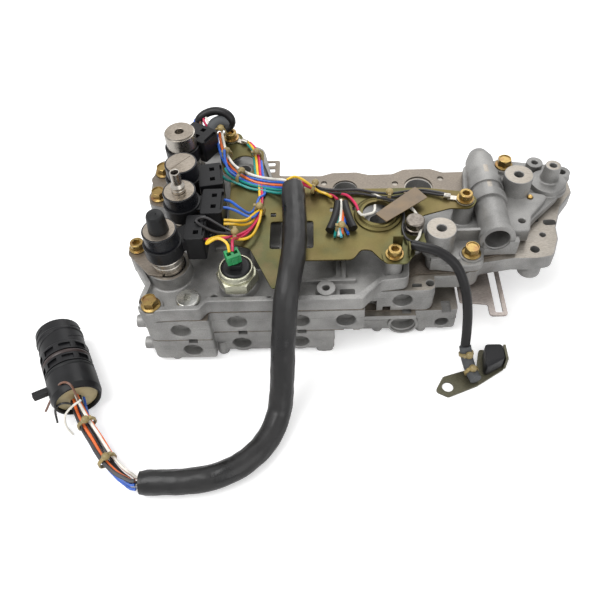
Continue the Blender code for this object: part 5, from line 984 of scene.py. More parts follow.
def build_upper_left_casting():
    base = flat(left_deck_outline(), UPPER_Z, RIM_TOP, edge=0.9, resolution=2)
    hollow = flat(left_deck_outline(4.0), DECK_TOP, RIM_TOP + 5, edge=0.0)
    raised = [boss(x, y, DECK_TOP, COLLAR_TOP, 15.6) for x, y, _ in SOLENOIDS.values()]
    x, y, _ = SOCKET_BOLTS["left_ear"]
    raised.append(post(x, y, UPPER_Z, 72.0, 7.4, 0.5))
    x, y, seat = HEX_BOLTS["front_left"]
    raised.append(post(x, y, UPPER_Z, seat - SEAT, HEX_BOSS_R, 0.5))
    raised += [boss(x, y, DECK_TOP, PLATE_Z - SEAT, 6.2, flare=1.2) for x, y in PLATE_POSTS if x < 100]
    raised += [
        rod((GALLERY_X, GALLERY_Y, UPPER_Z), (GALLERY_X, GALLERY_Y, GALLERY_TOP - 3), 10.2, 8.6, 0.5),
        rod((SWITCH_X, SWITCH_Y, UPPER_Z), (SWITCH_X, SWITCH_Y, SWITCH_SEAT - SEAT), 15.5, 14.0, 0.8),
        boss(18.3, -50, DECK_TOP, RIM_TOP + 1, 6.8, flare=1.2),
        boss(CHECK_X - 12, CHECK_Y, DECK_TOP, DECK_TOP + 4, 7.0, flare=1.0),
        boss(CHECK_X, CHECK_Y, DECK_TOP, CHECK_SEAT - SEAT, 7.3, flare=1.0),
        boss(-45.5, 68, DECK_TOP, PLATE_Z - 4, 13.6, 9.0, 2.5, 2.5),
        boss(58, 8, DECK_TOP, PLATE_Z - 5, 13.9, 10.0, 2.5, 2.5)]
    for x0, y0, x1, y1 in ((-64, -8, 40, -5), (-64, 24, 40, 27), (-16, -42, -13, 40), (30, -40, 33, 40),
                           (-20, -42, 40, -39)):
        raised.append(block((x0, y0, UPPER_Z + 2), (x1, y1, RIM_TOP - 1.5), 0.7))
    cuts = []
    for x, y, _ in SOLENOIDS.values():
        cuts += [
            sunk(x, y, COLLAR_TOP, 10.0, 12.2, 0.6),
            drilled(x, y, 57.2, COLLAR_TOP, 8.4)]
    for name in ("left_ear", "plate_back", "plate_front"):
        x, y, seat = SOCKET_BOLTS[name]
        cuts.append(drilled(x, y, seat - 15, seat + 5, BOLT_HOLE_R))
    x, y, seat = HEX_BOLTS["front_left"]
    cuts += [
        drilled(x, y, UPPER_Z - 1, seat + 5, BOLT_HOLE_R),
        drilled(x, y, seat - SEAT, RIM_TOP + 2, HEX_BOSS_R),
        sunk(GALLERY_X, GALLERY_Y, GALLERY_TOP - 3, 6.0, 5.6, 0.3),
        sunk(SWITCH_X, SWITCH_Y, SWITCH_SEAT - SEAT, 10.7, 6.4, 0.3),
        sunk(CHECK_X, CHECK_Y, CHECK_SEAT - SEAT, 8.7, 4.9, 0.3),
        sunk(18.3, -50, RIM_TOP + 1, 8, 2.6),
        drilled(-45.5, 68, 60, 90, 5.2),
        drilled(58, 8, 60, 90, 6.0),
        flat(rounded_box(-10, -36, 26, -12, 4), UPPER_Z + 3, RIM_TOP + 5, edge=0.0),
        flat(rounded_box(28, -52.5, 39, -47, 1.5), UPPER_Z + 2, RIM_TOP + 5, edge=0.0),
        sunk(-62, -52, DECK_TOP, 4, 2.6),
        sunk(-22, -54.5, DECK_TOP, 4, 2.6)]
    mesh = combined(base, ("DIFFERENCE", [hollow]), ("UNION", raised), ("DIFFERENCE", cuts))
    piece("upper_left_casting", mesh, [CAST, MILLED], "upper_body_left",
          where=on_top((UPPER_Z, COLLAR_TOP, SWITCH_SEAT - SEAT, PLATE_Z - SEAT)))


def right_deck_outline():
    return rounded([
        (93, -24, 6), (118, -28, 6), (134, -26, 7), (136, -12, 3), (160, -10, 5), (168, 6, 5), (182, 22, 6),
        (202, 42, 7), (214, 60, 7), (210, 80, 9), (186, 84, 7), (176, 86, 7), (158, 88, 7), (134, 82, 6),
        (130, 50, 6), (112, 44, 5), (112, 32, 5), (93, 26, 5)])


def build_upper_right_casting():
    floor = UPPER_Z + 7
    base = flat(right_deck_outline(), UPPER_Z, floor, edge=0.9)
    stations = ((CYL_FRONT, CYL_FRONT + 5, CYL_R + 1.2), (CYL_FRONT + 4, 26, CYL_R - 0.4),
                (25, 33, CYL_R + 1.6), (32, 42, CYL_R), (41, 50, CYL_R + 1.4), (49, 60, CYL_R + 0.2),
                (59, CYL_BACK - 9, CYL_R - 1))
    raised = [rod((CYL_X, y0, CYL_Z), (CYL_X, y1, CYL_Z), r, edge=0.7) for y0, y1, r in stations]
    raised += [
        rod((CYL_X, CYL_BACK - 9.5, CYL_Z), (CYL_X, CYL_BACK, CYL_Z), CYL_R - 1, CYL_R - 5, 1.2),
        block((CYL_X - 9, CYL_FRONT + 0.5, UPPER_Z + 1), (CYL_X + 9, CYL_BACK - 4, CYL_Z), 0.8),
        flat(rounded_box(134.5, -11, 162, -5, 2), UPPER_Z, CYL_Z - 2, edge=0.6)]
    raised += [boss(x, y, floor, PAD_TOP, 11.0, flare=2.2) for x, y in PADS]
    for name in ("front_right", "back_right"):
        x, y, seat = HEX_BOLTS[name]
        raised.append(post(x, y, UPPER_Z, seat - SEAT, HEX_BOSS_R, 0.5))
    raised += [
        boss(124.0, 21.0, floor, PLATE_Z - SEAT, 7.4, flare=1.4),
        boss(197, 56, floor, UPPER_Z + 12, 14.0, flare=1.0, edge=1.0),
        boss(198, 58, UPPER_Z + 12, TUBE_TOP, 6.8, 6.0, 1.5, 0.6),
        boss(190, 76, floor, UPPER_Z + 14, 6.5, flare=1.0),
        boss(210, 66, floor, UPPER_Z + 12, 6.5, flare=0.6),
        flat(rounded([(154, 2, 3), (172, 2, 3), (176, 18, 6), (194, 40, 4), (180, 44, 6), (154, 44, 3)]),
             UPPER_Z, PIN_LEDGE, edge=0.9),
        block((108, -2.2, UPPER_Z), (136, 0.8, UPPER_Z + 18), 0.7),
        block((95, -25, UPPER_Z), (117, -22, UPPER_Z + 12), 0.7),
        block((112, 40, UPPER_Z), (136, 43, UPPER_Z + 15), 0.7)]
    cuts = [bore((CYL_X, CYL_FRONT, CYL_Z), (0, 1, 0), 48, 9.0, 0.6)]
    cuts += [sunk(x, y, PAD_TOP, 30, CASE_HOLE_R, 0.5) for x, y in PADS]
    for name in ("front_right", "back_right"):
        x, y, seat = HEX_BOLTS[name]
        cuts.append(drilled(x, y, UPPER_Z - 1, seat + 5, BOLT_HOLE_R))
    x, y, seat = SOCKET_BOLTS["plate_right"]
    cuts.append(drilled(x, y, seat - 15, seat + 5, BOLT_HOLE_R))
    for x, y, top, depth, r in ((198, 58, TUBE_TOP, 18, 2.8), (210, 66, UPPER_Z + 12, 8, 3.0),
                                (190, 76, UPPER_Z + 14, 8, 2.6), (168, 13, PIN_LEDGE, 7.5, 2.8),
                                (PIN_X, PIN_Y, PIN_LEDGE, 6.8, 2.4)):
        cuts.append(sunk(x, y, top, depth, r, 0.4))
    mesh = combined(base, ("UNION", raised), ("DIFFERENCE", cuts))
    piece("upper_right_casting", mesh, [CAST, MILLED], "upper_body_right",
          where=on_top((UPPER_Z, PAD_TOP, PLATE_Z - SEAT, TUBE_TOP)))


# Wiring plate and the sheet parts on it

def build_wiring_plate():
    outline = rounded([
        (-18.5, -61, 3), (-14, -58, 3), (0, -35.5, 3), (38, -35.5, 7), (44, -26, 5), (51, -27, 4),
        (58, -37, 5), (76, -41, 7), (80, -30, 6), (91, -22, 4), (90, -16, 3), (90.5, 6, 3), (112, 13, 6),
        (128, 12, 8), (134, 22, 7), (128, 30, 7), (94, 36, 5), (20, 37, 5), (-10, 42, 6), (-29, 53, 5),
        (-30, 84, 6), (-46, 97, 8), (-51, 109, 7), (-66, 109, 7), (-68, 92, 6), (-62, 60, 6), (-55, 56, 4),
        (-53, 0, 6), (-52, -17, 5), (-36, -23, 5)])
    holes = [rounded_box(-21.7, -24, 10, 3.5, 2.5), circle(-45.5, 69, 10.6), circle(58, 8, 13.0)]
    holes += [rounded_box(x - 2, y - 2, x + 2, y + 2, 0.4) for x,
              y in ((-20, 10.5), (24.5, 14.6), (41.4, 15.2))]
    holes += [circle(*SOCKET_BOLTS[n][:2], BOLT_HOLE_R)
              for n in ("plate_back", "plate_right", "plate_front")]
    sheet = flat(outline, PLATE_Z, PLATE_TOP, holes, 0.2)
    r = 13.0
    ring = turned(softened([(r - 1.6, 2.6), (r + 0.6, 2.6), (r + 1.4, 1.4), (r + 2.6, 2.0), (r + 4.6, 1.2),
                            (r + 5.2, -0.6), (r - 1.6, -0.6), (r - 1.6, 2.6)], 0.3))
    notch = drilled(CHECK_X, CHECK_Y, PLATE_Z - 1, PLATE_TOP + 1, 8.0)
    mesh = combined(sheet, ("UNION", [shifted(ring, (58, 8, PLATE_TOP))]), ("DIFFERENCE", [notch]))
    piece("wiring_carrier", mesh, GOLD_PLATE, "wiring_plate")


def build_shield():
    z = PLATE_TOP + 6.0
    top = flat(rounded([(87, 30, 0.6), (55.5, 2.5, 0.6), (63, -6, 0.6), (95, 18, 0.6)]), z, z + 0.9,
               edge=0.15)
    leg = block((78.0, 23.5, PLATE_TOP + SEAT), (84.0, 24.6, z + 0.5), 0.2)
    piece("wire_shield_film", combined(top, ("UNION", [leg])), FILM, "wire_shield")


def build_clip():
    x, y, _ = SOCKET_BOLTS["plate_front"]
    z = PLATE_TOP + SEAT
    base = flat(rounded([(x - 8, y - 8, 5), (x + 8, y - 9, 5), (x + 15, y + 1, 4), (x + 12, y + 8, 3),
                         (x - 2, y + 9, 3), (x - 9, y + 3, 4)]), z, z + 1.0, [circle(x, y, BOLT_HOLE_R)],
                         0.15)
    leaves = [block((x + 9.5, y - 3, z + 0.2), (x + 10.7, y + 5, z + 9), 0.25),
              block((x - 1, y + 6.8, z + 0.2), (x + 6, y + 8, z + 12), 0.25)]
    piece("wire_clip_leaf", combined(base, ("UNION", leaves)), GOLD_PLATE, "wire_clip")


def build_clamp():
    x, y, _ = SOCKET_BOLTS["left_ear"]
    cx, cy, _ = SOLENOIDS[1]
    z = COLLAR_TOP + SEAT
    strap = flat(rounded([(x - 6.5, y + 6, 5), (x - 6.5, y - 6, 5), (cx - 13, cy - 11, 3),
                          (cx - 3, cy - 13, 2), (cx + 7, cy + 13, 2), (x + 7, y + 8, 5)]), z, z + 1.5,
                          [circle(x, y, BOLT_HOLE_R)], 0.25)
    grip = drilled(cx, cy, z - 5, z + 5, 10.6)
    piece("solenoid_clamp_strap", combined(strap, ("DIFFERENCE", [grip])), SHEET,
          "solenoid_clamp")


# Solenoids

def can_profile(top, face):
    """Stepped can from its face down to its spigot, with rolled bands below the clasp."""
    return [(0.0, top), (face, top), (face, top - 1.2), (12.0, top - 1.2), (12.0, top - 13.0),
            (11.4, top - 13.6), (11.4, 84.4), (10.7, 83.7), (10.7, 82.9), (11.4, 82.2), (11.4, 79.0),
            (10.9, 78.6), (10.9, 78.0), (11.4, 77.6), (11.4, 74.4), (10.2, 74.4), (10.2, 71.7),
            (11.4, 71.7), (11.4, 62.6), (8.0, 62.6), (8.0, 57.5), (0.0, 57.5)]


def build_solenoids():
    for number, (x, y, top) in SOLENOIDS.items():
        mesh = shifted(turned(softened(can_profile(top, 11.0), 0.25), 64), (x, y, 0))
        if number == 4:
            cut = sunk(x, y, top, 8, 3.4, 0.5)
        elif number == 3:
            cut = block((x - 9.5, y - 0.25, top - 0.25), (x + 9.5, y + 0.25, top + 1), 0.0, 48.0)
        else:
            cut = drilled(x, y, top - 2.7, top + 5, 3.4)
        mesh = combined(mesh, ("DIFFERENCE", [cut]))
        black_rim = number != 4
        side = COIL if black_rim else TURNED

        def pick(centre, normal, x=x, y=y, top=top):
            r = (Vector((centre.x, centre.y)) - Vector((x, y))).length
            if centre.z > top - 0.6 and r < 10.9:
                return 0
            return 1 if centre.z > CLASP_Z else 2
        piece(f"solenoid_{number}_can", mesh, [FACED, side, TURNED], f"solenoid_{number}",
              where=pick)
        if black_rim:
            rim = turned(softened([(11.0, top - 0.1), (12.1, top - 0.3), (12.1, top - 2.2),
                                   (11.0, top - 2.2), (11.0, top - 0.1)], 0.35), 64)
            piece(f"solenoid_{number}_rim", shifted(rim, (x, y, 0)), COIL)
    x, y, top = SOLENOIDS[1]
    nose = turned(softened([(0.0, 15.0), (2.0, 15.0), (5.4, 14.2), (6.1, 12.4), (7.0, 1.2), (7.2, 0.0),
                            (3.0, 0.0), (3.0, -2.4), (0.0, -2.4)], 0.5, 3), 48)
    nose = combined(nose, ("DIFFERENCE", [sunk(1.2, -0.6, 15.0, 1.2, 0.45, 0.1)]))
    piece("solenoid_1_cap", shifted(nose, (x, y, top + SEAT)), RUBBER, "solenoid_1_nose")
    x, y, top = SOLENOIDS[2]
    spout = turned(softened([(0.0, 6.0), (2.4, 6.0), (2.6, 16.4), (3.0, 17.0), (3.4, 17.0), (3.6, 16.4),
                             (3.6, 7.0), (4.6, 5.6), (5.2, 4.6), (5.2, 3.0), (4.8, 2.6), (5.2, 2.2),
                             (5.2, 0.0), (3.0, 0.0), (3.0, -2.4), (0.0, -2.4)], 0.2), 40)
    piece("solenoid_2_tube", shifted(spout, (x, y, top + SEAT)), TURNED, "solenoid_2_spout")


CONNECTORS = {1: (-73.5, -17, 14, 24, 0, 0, 0), 2: (-63.5, 9, 16, 26, 0, 0, 0),
              3: (-67.5, 38, 18, 25, 8, 0, 0), 4: (-81, 85, 24, 19, -32, 3, 5)}


def build_connectors():
    """Moulded housings that clasp each can: block, web, clasp ring, latch windows and steps."""
    for number, (cx, cy, width, depth, turn, lift, foot) in CONNECTORS.items():
        x, y, _ = SOLENOIDS[number]
        z0, z1 = CLASP_Z, CLASP_Z + 11.0
        top = z1 + lift
        centre = Vector((cx, cy, 0))
        spin = Matrix.Rotation(radians(turn), 3, "Z")

        def at(u, v):
            return centre + spin @ Vector((u, v, 0))
        corners = [at(sx * width / 2, sy * depth / 2) for sx, sy in ((-1, -1), (1, -1), (1, 1), (-1, 1))]
        case = flat(rounded([(p.x, p.y, 2.0) for p in corners]), 75.0 + foot, top, edge=0.5)
        reach = centre - Vector((x, y, 0))
        side = Vector((-reach.y, reach.x, 0)).normalized() * 7.5
        origin = Vector((x, y, 0))
        web = flat([(p.x, p.y) for p in (origin + side, origin - side, centre - side, centre + side)], z0,
                   z1 - 1.5,
                   edge=0.3)
        clasp = shifted(turned(softened([(0.0, z1), (13.7, z1), (13.7, z0), (0.0, z0)], 0.5), 64),
                        (x, y, 0))
        cuts = [shifted(turned([(0.0, 120.0), (12.25, 120.0), (12.25, 60.0), (0.0, 60.0)], 64), (x, y, 0))]
        for shift in (-0.22, 0.22):
            mid = at(width * 0.08, shift * depth)
            cuts.append(block((mid.x - 1.9, mid.y - 1.9, top - 3), (mid.x + 1.9, mid.y + 1.9, top + 2),
                              0.0, turn))
        edge_mid = at(width / 2, 0.0)
        cuts.append(block((edge_mid.x - 1.6, edge_mid.y - depth * 0.36, top - 2.2),
                          (edge_mid.x + 1.6, edge_mid.y + depth * 0.36, top + 2), 0.0, turn))
        rib = at(-width * 0.3, 0.0)
        ridge = block((rib.x - 0.7, rib.y - depth * 0.4, top - 1), (rib.x + 0.7, rib.y + depth * 0.4, top),
                      0.2,
                      turn)
        mesh = combined(case, ("UNION", [web, clasp, ridge]), ("DIFFERENCE", cuts))
        piece(f"solenoid_{number}_socket", mesh, BLACK, f"solenoid_connector_{number}")


# Switch, plugs and fasteners

def build_switch():
    base = turned(softened([(0.0, 8.5), (13.4, 8.5), (15.2, 7.2), (15.2, 1.0), (14.6, 0.0), (0.0, 0.0)],
                           0.2), 64)
    base = combined(base, ("INTERSECT", [flat(hexagon(26.0), -1.0, 10.0, edge=0.0)]))
    rim = turned(softened([(0.0, 11.5), (10.6, 11.5), (10.6, 14.2), (11.2, 14.6), (11.8, 14.4),
                           (12.4, 13.6), (12.4, 11.2), (11.8, 10.6), (12.4, 10.0), (12.4, 6.0),
                           (0.0, 6.0)], 0.3), 64)
    thread = rod((0, 0, -10), (0, 0, 3), 6.0)
    mesh = combined(base, ("UNION", [rim, thread]))
    piece("pressure_switch_body", shifted(mesh, (SWITCH_X, SWITCH_Y, SWITCH_SEAT)), ZINC,
          "pressure_switch")
    z = SWITCH_SEAT + 11.8
    dome = turned(softened([(0.0, 3.2), (8.9, 3.2), (10.3, 2.2), (10.3, 0.0), (0.0, 0.0)], 0.5), 48)
    key = block((-3.6, -4.6, 2), (4.6, 3.0, 8.0), 0.4)
    piece("switch_insulator_dome", shifted(combined(dome, ("UNION", [key])), (SWITCH_X, SWITCH_Y, z)),
          BLACK,
          "switch_insulator")
    plug = block((-5.0, -4.2, 0), (5.0, 4.2, 7.5), 0.35)
    latch = block((-2.0, -5.0, 0.6), (2.0, -3.9, 6.0), 0.25)
    cuts = [block((sx * 2.4 - 1.5, -1.6, 2.5), (sx * 2.4 + 1.5, 1.6, 9), 0.0) for sx in (-1, 1)]
    mesh = combined(plug, ("UNION", [latch]), ("DIFFERENCE", cuts))
    piece("switch_plug_housing", shifted(mesh, (SWITCH_X - 1.0, SWITCH_Y + 1.0, z + 8.0 + SEAT), 24.0),
          GREEN,
          "switch_plug")


def build_plugs():
    body = turned(softened([(0.0, 0.0), (7.6, 0.0), (8.6, -1.0), (8.6, -2.7), (5.2, -2.7), (5.2, -8.7),
                            (0.0, -8.7)], 0.3), 48)
    body = combined(body, ("DIFFERENCE", [block((-2.4, -3.6, -5.0), (2.4, 3.6, 2.0), 0.0)]))
    piece("gallery_plug_head", shifted(body, (GALLERY_X, GALLERY_Y, GALLERY_TOP)), BRIGHT,
          "gallery_plug")
    r, top = 6.8, CHECK_TOP
    body = turned(softened([(0.0, top), (r - 0.8, top), (r, top - 0.8), (r, top - 4.5),
                            (r - 0.9, top - 5.0), (r - 0.9, top - 6.4), (r, top - 7.0), (r, CHECK_SEAT),
                            (4.5, CHECK_SEAT), (4.5, CHECK_SEAT - 8.5), (0.0, CHECK_SEAT - 8.5)], 0.25), 48)
    piece("check_plug_turned", shifted(body, (CHECK_X, CHECK_Y, 0)), TURNED_DARK,
          "check_plug")
    pin = turned(softened([(0.0, 65.5), (1.6, 65.5), (2.0, 65.1), (2.0, 57.5), (0.0, 57.5)], 0.15), 24)
    piece("locating_pin_turned", shifted(pin, (PIN_X, PIN_Y, 0)), BRASS, "locating_pin")


def hex_bolt():
    head = flat(hexagon(10.0), 0.8, 7.1, edge=0.0)
    crown = turned([(0.0, 6.4), (4.0, 6.4), (4.3, 7.1), (4.9, 7.1), (5.9, 6.3), (5.9, 0.5), (0.0, 0.5)], 48)
    head = combined(head, ("INTERSECT", [crown]))
    rim = turned(softened([(0.0, 1.6), (5.2, 1.6), (6.9, 1.0), (7.1, 0.7), (7.1, 0.0), (3.0, 0.0),
                           (3.0, -14.0), (0.0, -14.0)], 0.2), 48)
    return combined(head, ("UNION", [rim]))


def socket_bolt():
    body = turned(softened([(0.0, 6.0), (4.5, 6.0), (5.0, 5.5), (5.0, 1.0), (6.5, 0.8), (6.5, 0.0),
                            (3.0, 0.0), (3.0, -14.0), (0.0, -14.0)], 0.2), 48)
    socket = flat(hexagon(5.0), 3.0, 11.0, edge=0.0)
    lead_in = bore((0, 0, 6.0), (0, 0, -1), 0.4, 2.5, 0.5)
    return combined(body, ("DIFFERENCE", [socket, lead_in]))


def build_bolts():
    hexes, sockets = hex_bolt(), socket_bolt()
    for i, (name, place) in enumerate(HEX_BOLTS.items()):
        piece(f"hex_bolt_{name}_gold", shifted(hexes, place, 12.0 * i), GOLD_BOLT,
              f"hex_bolt_{name}")
    for i, (name, place) in enumerate(SOCKET_BOLTS.items()):
        piece(f"socket_bolt_{name}_gold", shifted(sockets, place, 20.0 * i), GOLD_BOLT,
              f"socket_bolt_{name}")
    for name, heading in (("plate_back", -28.0), ("plate_right", 168.0)):
        x, y, seat = SOCKET_BOLTS[name]
        z = seat - 1.0 - SEAT
        eye = flat(circle(0, 0, 6.8), z, z + 1.0, edge=0.2)
        tail = block((4, -2.2, z), (13, 2.2, z + 1.0), 0.2)
        barrel = rod((11, 0, z + 2.0), (16, 0, z + 2.0), 2.0, edge=0.3)
        hole = drilled(0, 0, z - 5, z + 5, BOLT_HOLE_R)
        mesh = combined(eye, ("UNION", [tail, barrel]), ("DIFFERENCE", [hole]))
        piece(f"ring_terminal_{name}_tin", shifted(mesh, (x, y, 0), heading), TIN,
              f"ring_terminal_{name}")


def build_manual_valve():
    end, neck0, neck1, r = RIGHT_X + 20, 125.0, 129.0, 6.0
    profile = [(0.0, end), (r - 1, end), (r, end - 1), (r, neck1), (3.4, neck1), (3.4, neck0), (r, neck0),
               (r, RIGHT_X - 14), (r * 0.6, RIGHT_X - 15), (r * 0.6, RIGHT_X - 32), (r, RIGHT_X - 33),
               (r, 64.0), (r * 0.6, 63.0), (0.0, 63.0)]
    mesh = turned(softened(profile, 0.2), 48)
    mesh.transform(Matrix.Translation((0, MANUAL_Y, MANUAL_Z)) @ Matrix.Rotation(radians(90), 4, "Y"))
    piece("manual_valve_spool", mesh, TURNED, "manual_valve", VALVE_TRAIN)
    z0, z1 = MIDDLE_Z + SEAT, MIDDLE_Z + SEAT + 1.6
    outline = rounded([(119, -38, 2), (139.5, -40, 2), (139.5, -51, 3), (153, -51, 3), (153, 0, 5),
                       (132, 4, 5), (132, 15, 2), (123, 15, 2), (123, 0, 3), (119, -4, 2)])
    sheet = flat(outline, z0, z1, [rounded_box(144.35, -48, 149.65, -4, 1.0)], 0.2)
    tongue = block((125.3, MANUAL_Y - 5.6, MANUAL_Z - 2), (128.7, MANUAL_Y + 5.6, z1 - 0.2), 0.2)
    notch = [rod((118, MANUAL_Y, MANUAL_Z), (136, MANUAL_Y, MANUAL_Z), 3.7, edge=0.0),
             block((118, MANUAL_Y - 3.7, MANUAL_Z - 9), (136, MANUAL_Y + 3.7, MANUAL_Z), 0.0)]
    mesh = combined(sheet, ("UNION", [tongue]), ("DIFFERENCE", notch))
    piece("selector_plate", mesh, SHIFT, "manual_valve_plate", VALVE_TRAIN)


# Wires on the plate: each run is a list of (colour, points)

WIRE_R = 1.05
LOOM = (
    ("white", ((-64, 97, 91), (-62.5, 88, 89), (-58.8, 75, 84.5), (-52.5, 63, 83.6), (-44, 54, 84.4),
               (-34, 48.6, 83.8), (-22, 44.8, 84), (-12, 38.6, 88), (-7.5, 30, 93))),
    ("orange", ((-66, 96, 90), (-64.6, 87, 88), (-60.8, 74, 82.6), (-53.8, 61.6, 81.4), (-45.4, 51.4, 82.4),
                (-35, 44.6, 81.6), (-23, 40.8, 82), (-12.8, 36, 85), (-8.5, 29, 90))),
    ("blue", ((-68, 94, 89), (-66.6, 85, 87), (-62.8, 73, 82), (-55.4, 60.4, 80.6), (-46, 53, 81.8),
              (-34.6, 46.8, 82.4), (-22.4, 43, 82.6), (-11.6, 37.6, 86.4), (-6.5, 30, 91.2))),
    ("teal", ((-58, 50, 92), (-56, 48, 88), (-52.5, 48.5, 83), (-46.5, 46.6, 81.2), (-36.4, 41.4, 80.8),
              (-24.4, 37.2, 81), (-15, 32.6, 83.4), (-11, 27.4, 88))),
    ("teal", ((-58.5, 40, 92), (-56.6, 42, 87), (-53.6, 45, 82.6), (-48.4, 44, 80.9), (-38.6, 38.4, 80.6),
              (-27, 35, 80.8), (-17.6, 30, 83), (-12.6, 26, 86.6))),
    ("blue", ((-60, 72, 92), (-59.6, 66, 86), (-55.8, 57.4, 82), (-47, 49.8, 80.8), (-36.6, 43.4, 80.6),
              (-24, 39.4, 80.8), (-13.4, 34, 84.2), (-9.8, 28, 88))),
    ("yellow", ((-43, 92.2, 82.6), (-38.6, 84.6, 82), (-35.6, 72, 81.4), (-33.8, 56, 80.5),
                (-31.6, 38, 80.5), (-30.6, 22, 80.6), (-30.8, 11, 81.6), (-35, 1, 82), (-41, -5, 85),
                (-47.6, -9.4, 90.5), (-54, -10.4, 92))),
    ("crimson", ((-41.6, 91.2, 82.8), (-36.4, 83.6, 82.2), (-33.2, 71, 81.4), (-31.6, 55, 80.5),
                 (-29.6, 38, 80.5), (-28.8, 23, 80.6), (-29.6, 11, 81.8), (-34, -3, 82), (-41, -13, 84.6),
                 (-47, -19, 88), (-57, -22.6, 89.6), (-68, -22.4, 89))),
    ("teal", ((-43.6, 90, 81.8), (-39.6, 84, 81), (-37.2, 72, 80.6), (-35.8, 58, 80.5), (-33.8, 48, 80.5))),
    ("blue", ((-31.6, 70, 80.8), (-29.8, 56, 80.5), (-28, 44, 80.5), (-27.2, 32, 80.5), (-31, 26, 82),
              (-33, 16, 82.6), (-37, 8, 83.6), (-44, 9.4, 88), (-51, 13.2, 91.6), (-56, 14.4, 92))),
    ("blue", ((-29.6, 11.6, 83), (-34, 3, 84.6), (-39, 2.4, 86.6), (-46, 4.4, 90), (-52, 5.6, 92),
              (-56, 5.8, 92.4))),
    ("yellow", ((-29.2, 12, 83.6), (-33.4, 6.6, 84.6), (-38.6, -1.6, 86.6), (-43.6, -5.8, 90),
                (-49, -7, 92), (-54, -7, 92.4))),
    ("crimson", ((-28, 12, 83.6), (-30.8, 2, 83.4), (-37, -10, 83), (-42.6, -17.8, 85),
                 (-45.6, -25.4, 92), (-45.4, -33.6, 98), (-45.2, -39.6, 94.6))),
    ("yellow", ((-28.4, 10.8, 84.4), (-29.6, -2, 84.6), (-34, -15, 84.4), (-42, -20.4, 86),
                (-54, -19.8, 89), (-62, -25.6, 92.6), (-63.4, -33, 96), (-55.8, -31.4, 99.4),
                (-49, -35.6, 99), (-47.4, -40.2, 94.6))),
    ("black", ((-47, -16.4, 89.8), (-56, -12, 91.4), (-66, -9.6, 97.6), (-72.4, -11.6, 98.2),
               (-70.4, -15.6, 97.8), (-60, -17.6, 91.6), (-48, -17.8, 89))),
    ("crimson", ((-10.5, 36, 88), (-1, 38.6, 86), (8.6, 36.6, 83.4), (17, 33.4, 81), (27, 31, 80.6),
                 (36, 27.4, 80.9), (41.6, 18, 81.2), (43.6, 8.8, 82.6))),
    ("crimson", ((-9.5, 33.8, 88.4), (-0.6, 36, 86.4), (8.4, 34.4, 83.2), (16.6, 31.6, 80.8),
                 (24.6, 28, 80.8), (28.6, 22, 82.2))),
    ("white", ((43.4, 8, 82.8), (46, 3.6, 83.4), (51, 3.8, 84.2), (55, 6.6, 83.4), (56, 14, 83))),
    ("yellow", ((-9, 31, 95), (-4, 36, 93.4), (1.6, 37, 90), (8.6, 33.4, 86.4), (14, 31, 83),
                (20, 28.6, 82), (24, 24, 83))),
    ("black", ((10, 34.6, 85), (18, 32.6, 83.4), (30, 31.6, 82.6), (44, 31.8, 82.4), (56, 28.6, 82.2),
               (68, 26.6, 82.4), (80, 29.4, 81.4), (92, 31.2, 81), (104, 27.6, 81.6), (110.4, 24.4, 82.2))),
    ("black", ((12, 32.6, 83.6), (20, 30.6, 82), (32, 29.8, 80.8), (45, 29.6, 80.6), (57, 26.2, 80.6),
               (68.6, 24.2, 80.8), (80.4, 27, 80.5), (93, 29, 80.5), (104.4, 25.6, 81), (110.4, 23.6, 82))),
    ("white", ((28, 33.4, 80.6), (40, 33.6, 80.5), (52, 31.4, 80.5), (62, 23.4, 81), (70, 20, 80.6),
               (78, 17, 80.5), (85, 9, 80.6), (88, -4, 80.8), (86, -16, 81.2), (82, -24.6, 83.6))),
    ("black", ((58, 21.6, 83.6), (66, 20, 83.2), (74, 15.6, 82.2), (76.6, 4, 81), (74.8, -8, 80.6),
               (76, -18, 81.4), (79.6, -25, 84))),
)
FAN = (
    ("teal", ((30, 20, 82.4), (29.6, 12, 82.2), (28, 2, 81.6), (26.4, -8, 80.8), (25.4, -15, 80.6))),
    ("white", ((31, 20, 83.6), (31, 12, 83), (30, 2, 82), (28.8, -6, 80.9), (28.4, -14, 80.6))),
    ("orange", ((32, 20, 82.6), (32.2, 12, 82.2), (31.8, 2, 81.4), (31, -6, 80.6), (31.2, -12, 80.6))),
    ("blue", ((32.6, 19.4, 81.4), (33, 10, 81), (33.2, 2, 80.8), (33.4, -6, 80.6), (35.4, -12.6, 80.6))),
    ("cyan", ((29.2, 19.4, 81.4), (29.2, 10, 81), (28.2, 0, 80.7), (29.2, -8, 80.8), (30.2, -15.4, 80.6))),
)
TIES = (
    ("plate_tie_1", (-58.8, 75, 84), (6, -12, -1.5), 3.4, 0),
    ("plate_tie_2", (-46.4, 49, 82.6), (11, -7, 0), 4.6, 20),
    ("plate_tie_3", (-35, 76, 81.8), (2.6, -12, -0.3), 2.6, 0),
    ("plate_tie_4", (-29.8, 11.6, 82.8), (-2, -11, 0.5), 3.4, 0),
    ("plate_tie_5", (-46.4, -18.8, 88), (-10, -1, 2), 3.2, 0),
    ("plate_tie_6", (10.9, 33.8, 84.2), (9, -3, -2), 4, 0),
    ("plate_tie_7", (67.4, 24.6, 81.9), (12, -1, 0), 3, 0),
    ("plate_tie_8", (30.6, -9, 81.6), (1, -10, 0), 3.8, 0),
    ("plate_tie_9", (-64.6, 96.4, 90.2), (1.6, -9, -2), 3.6, 0),
)


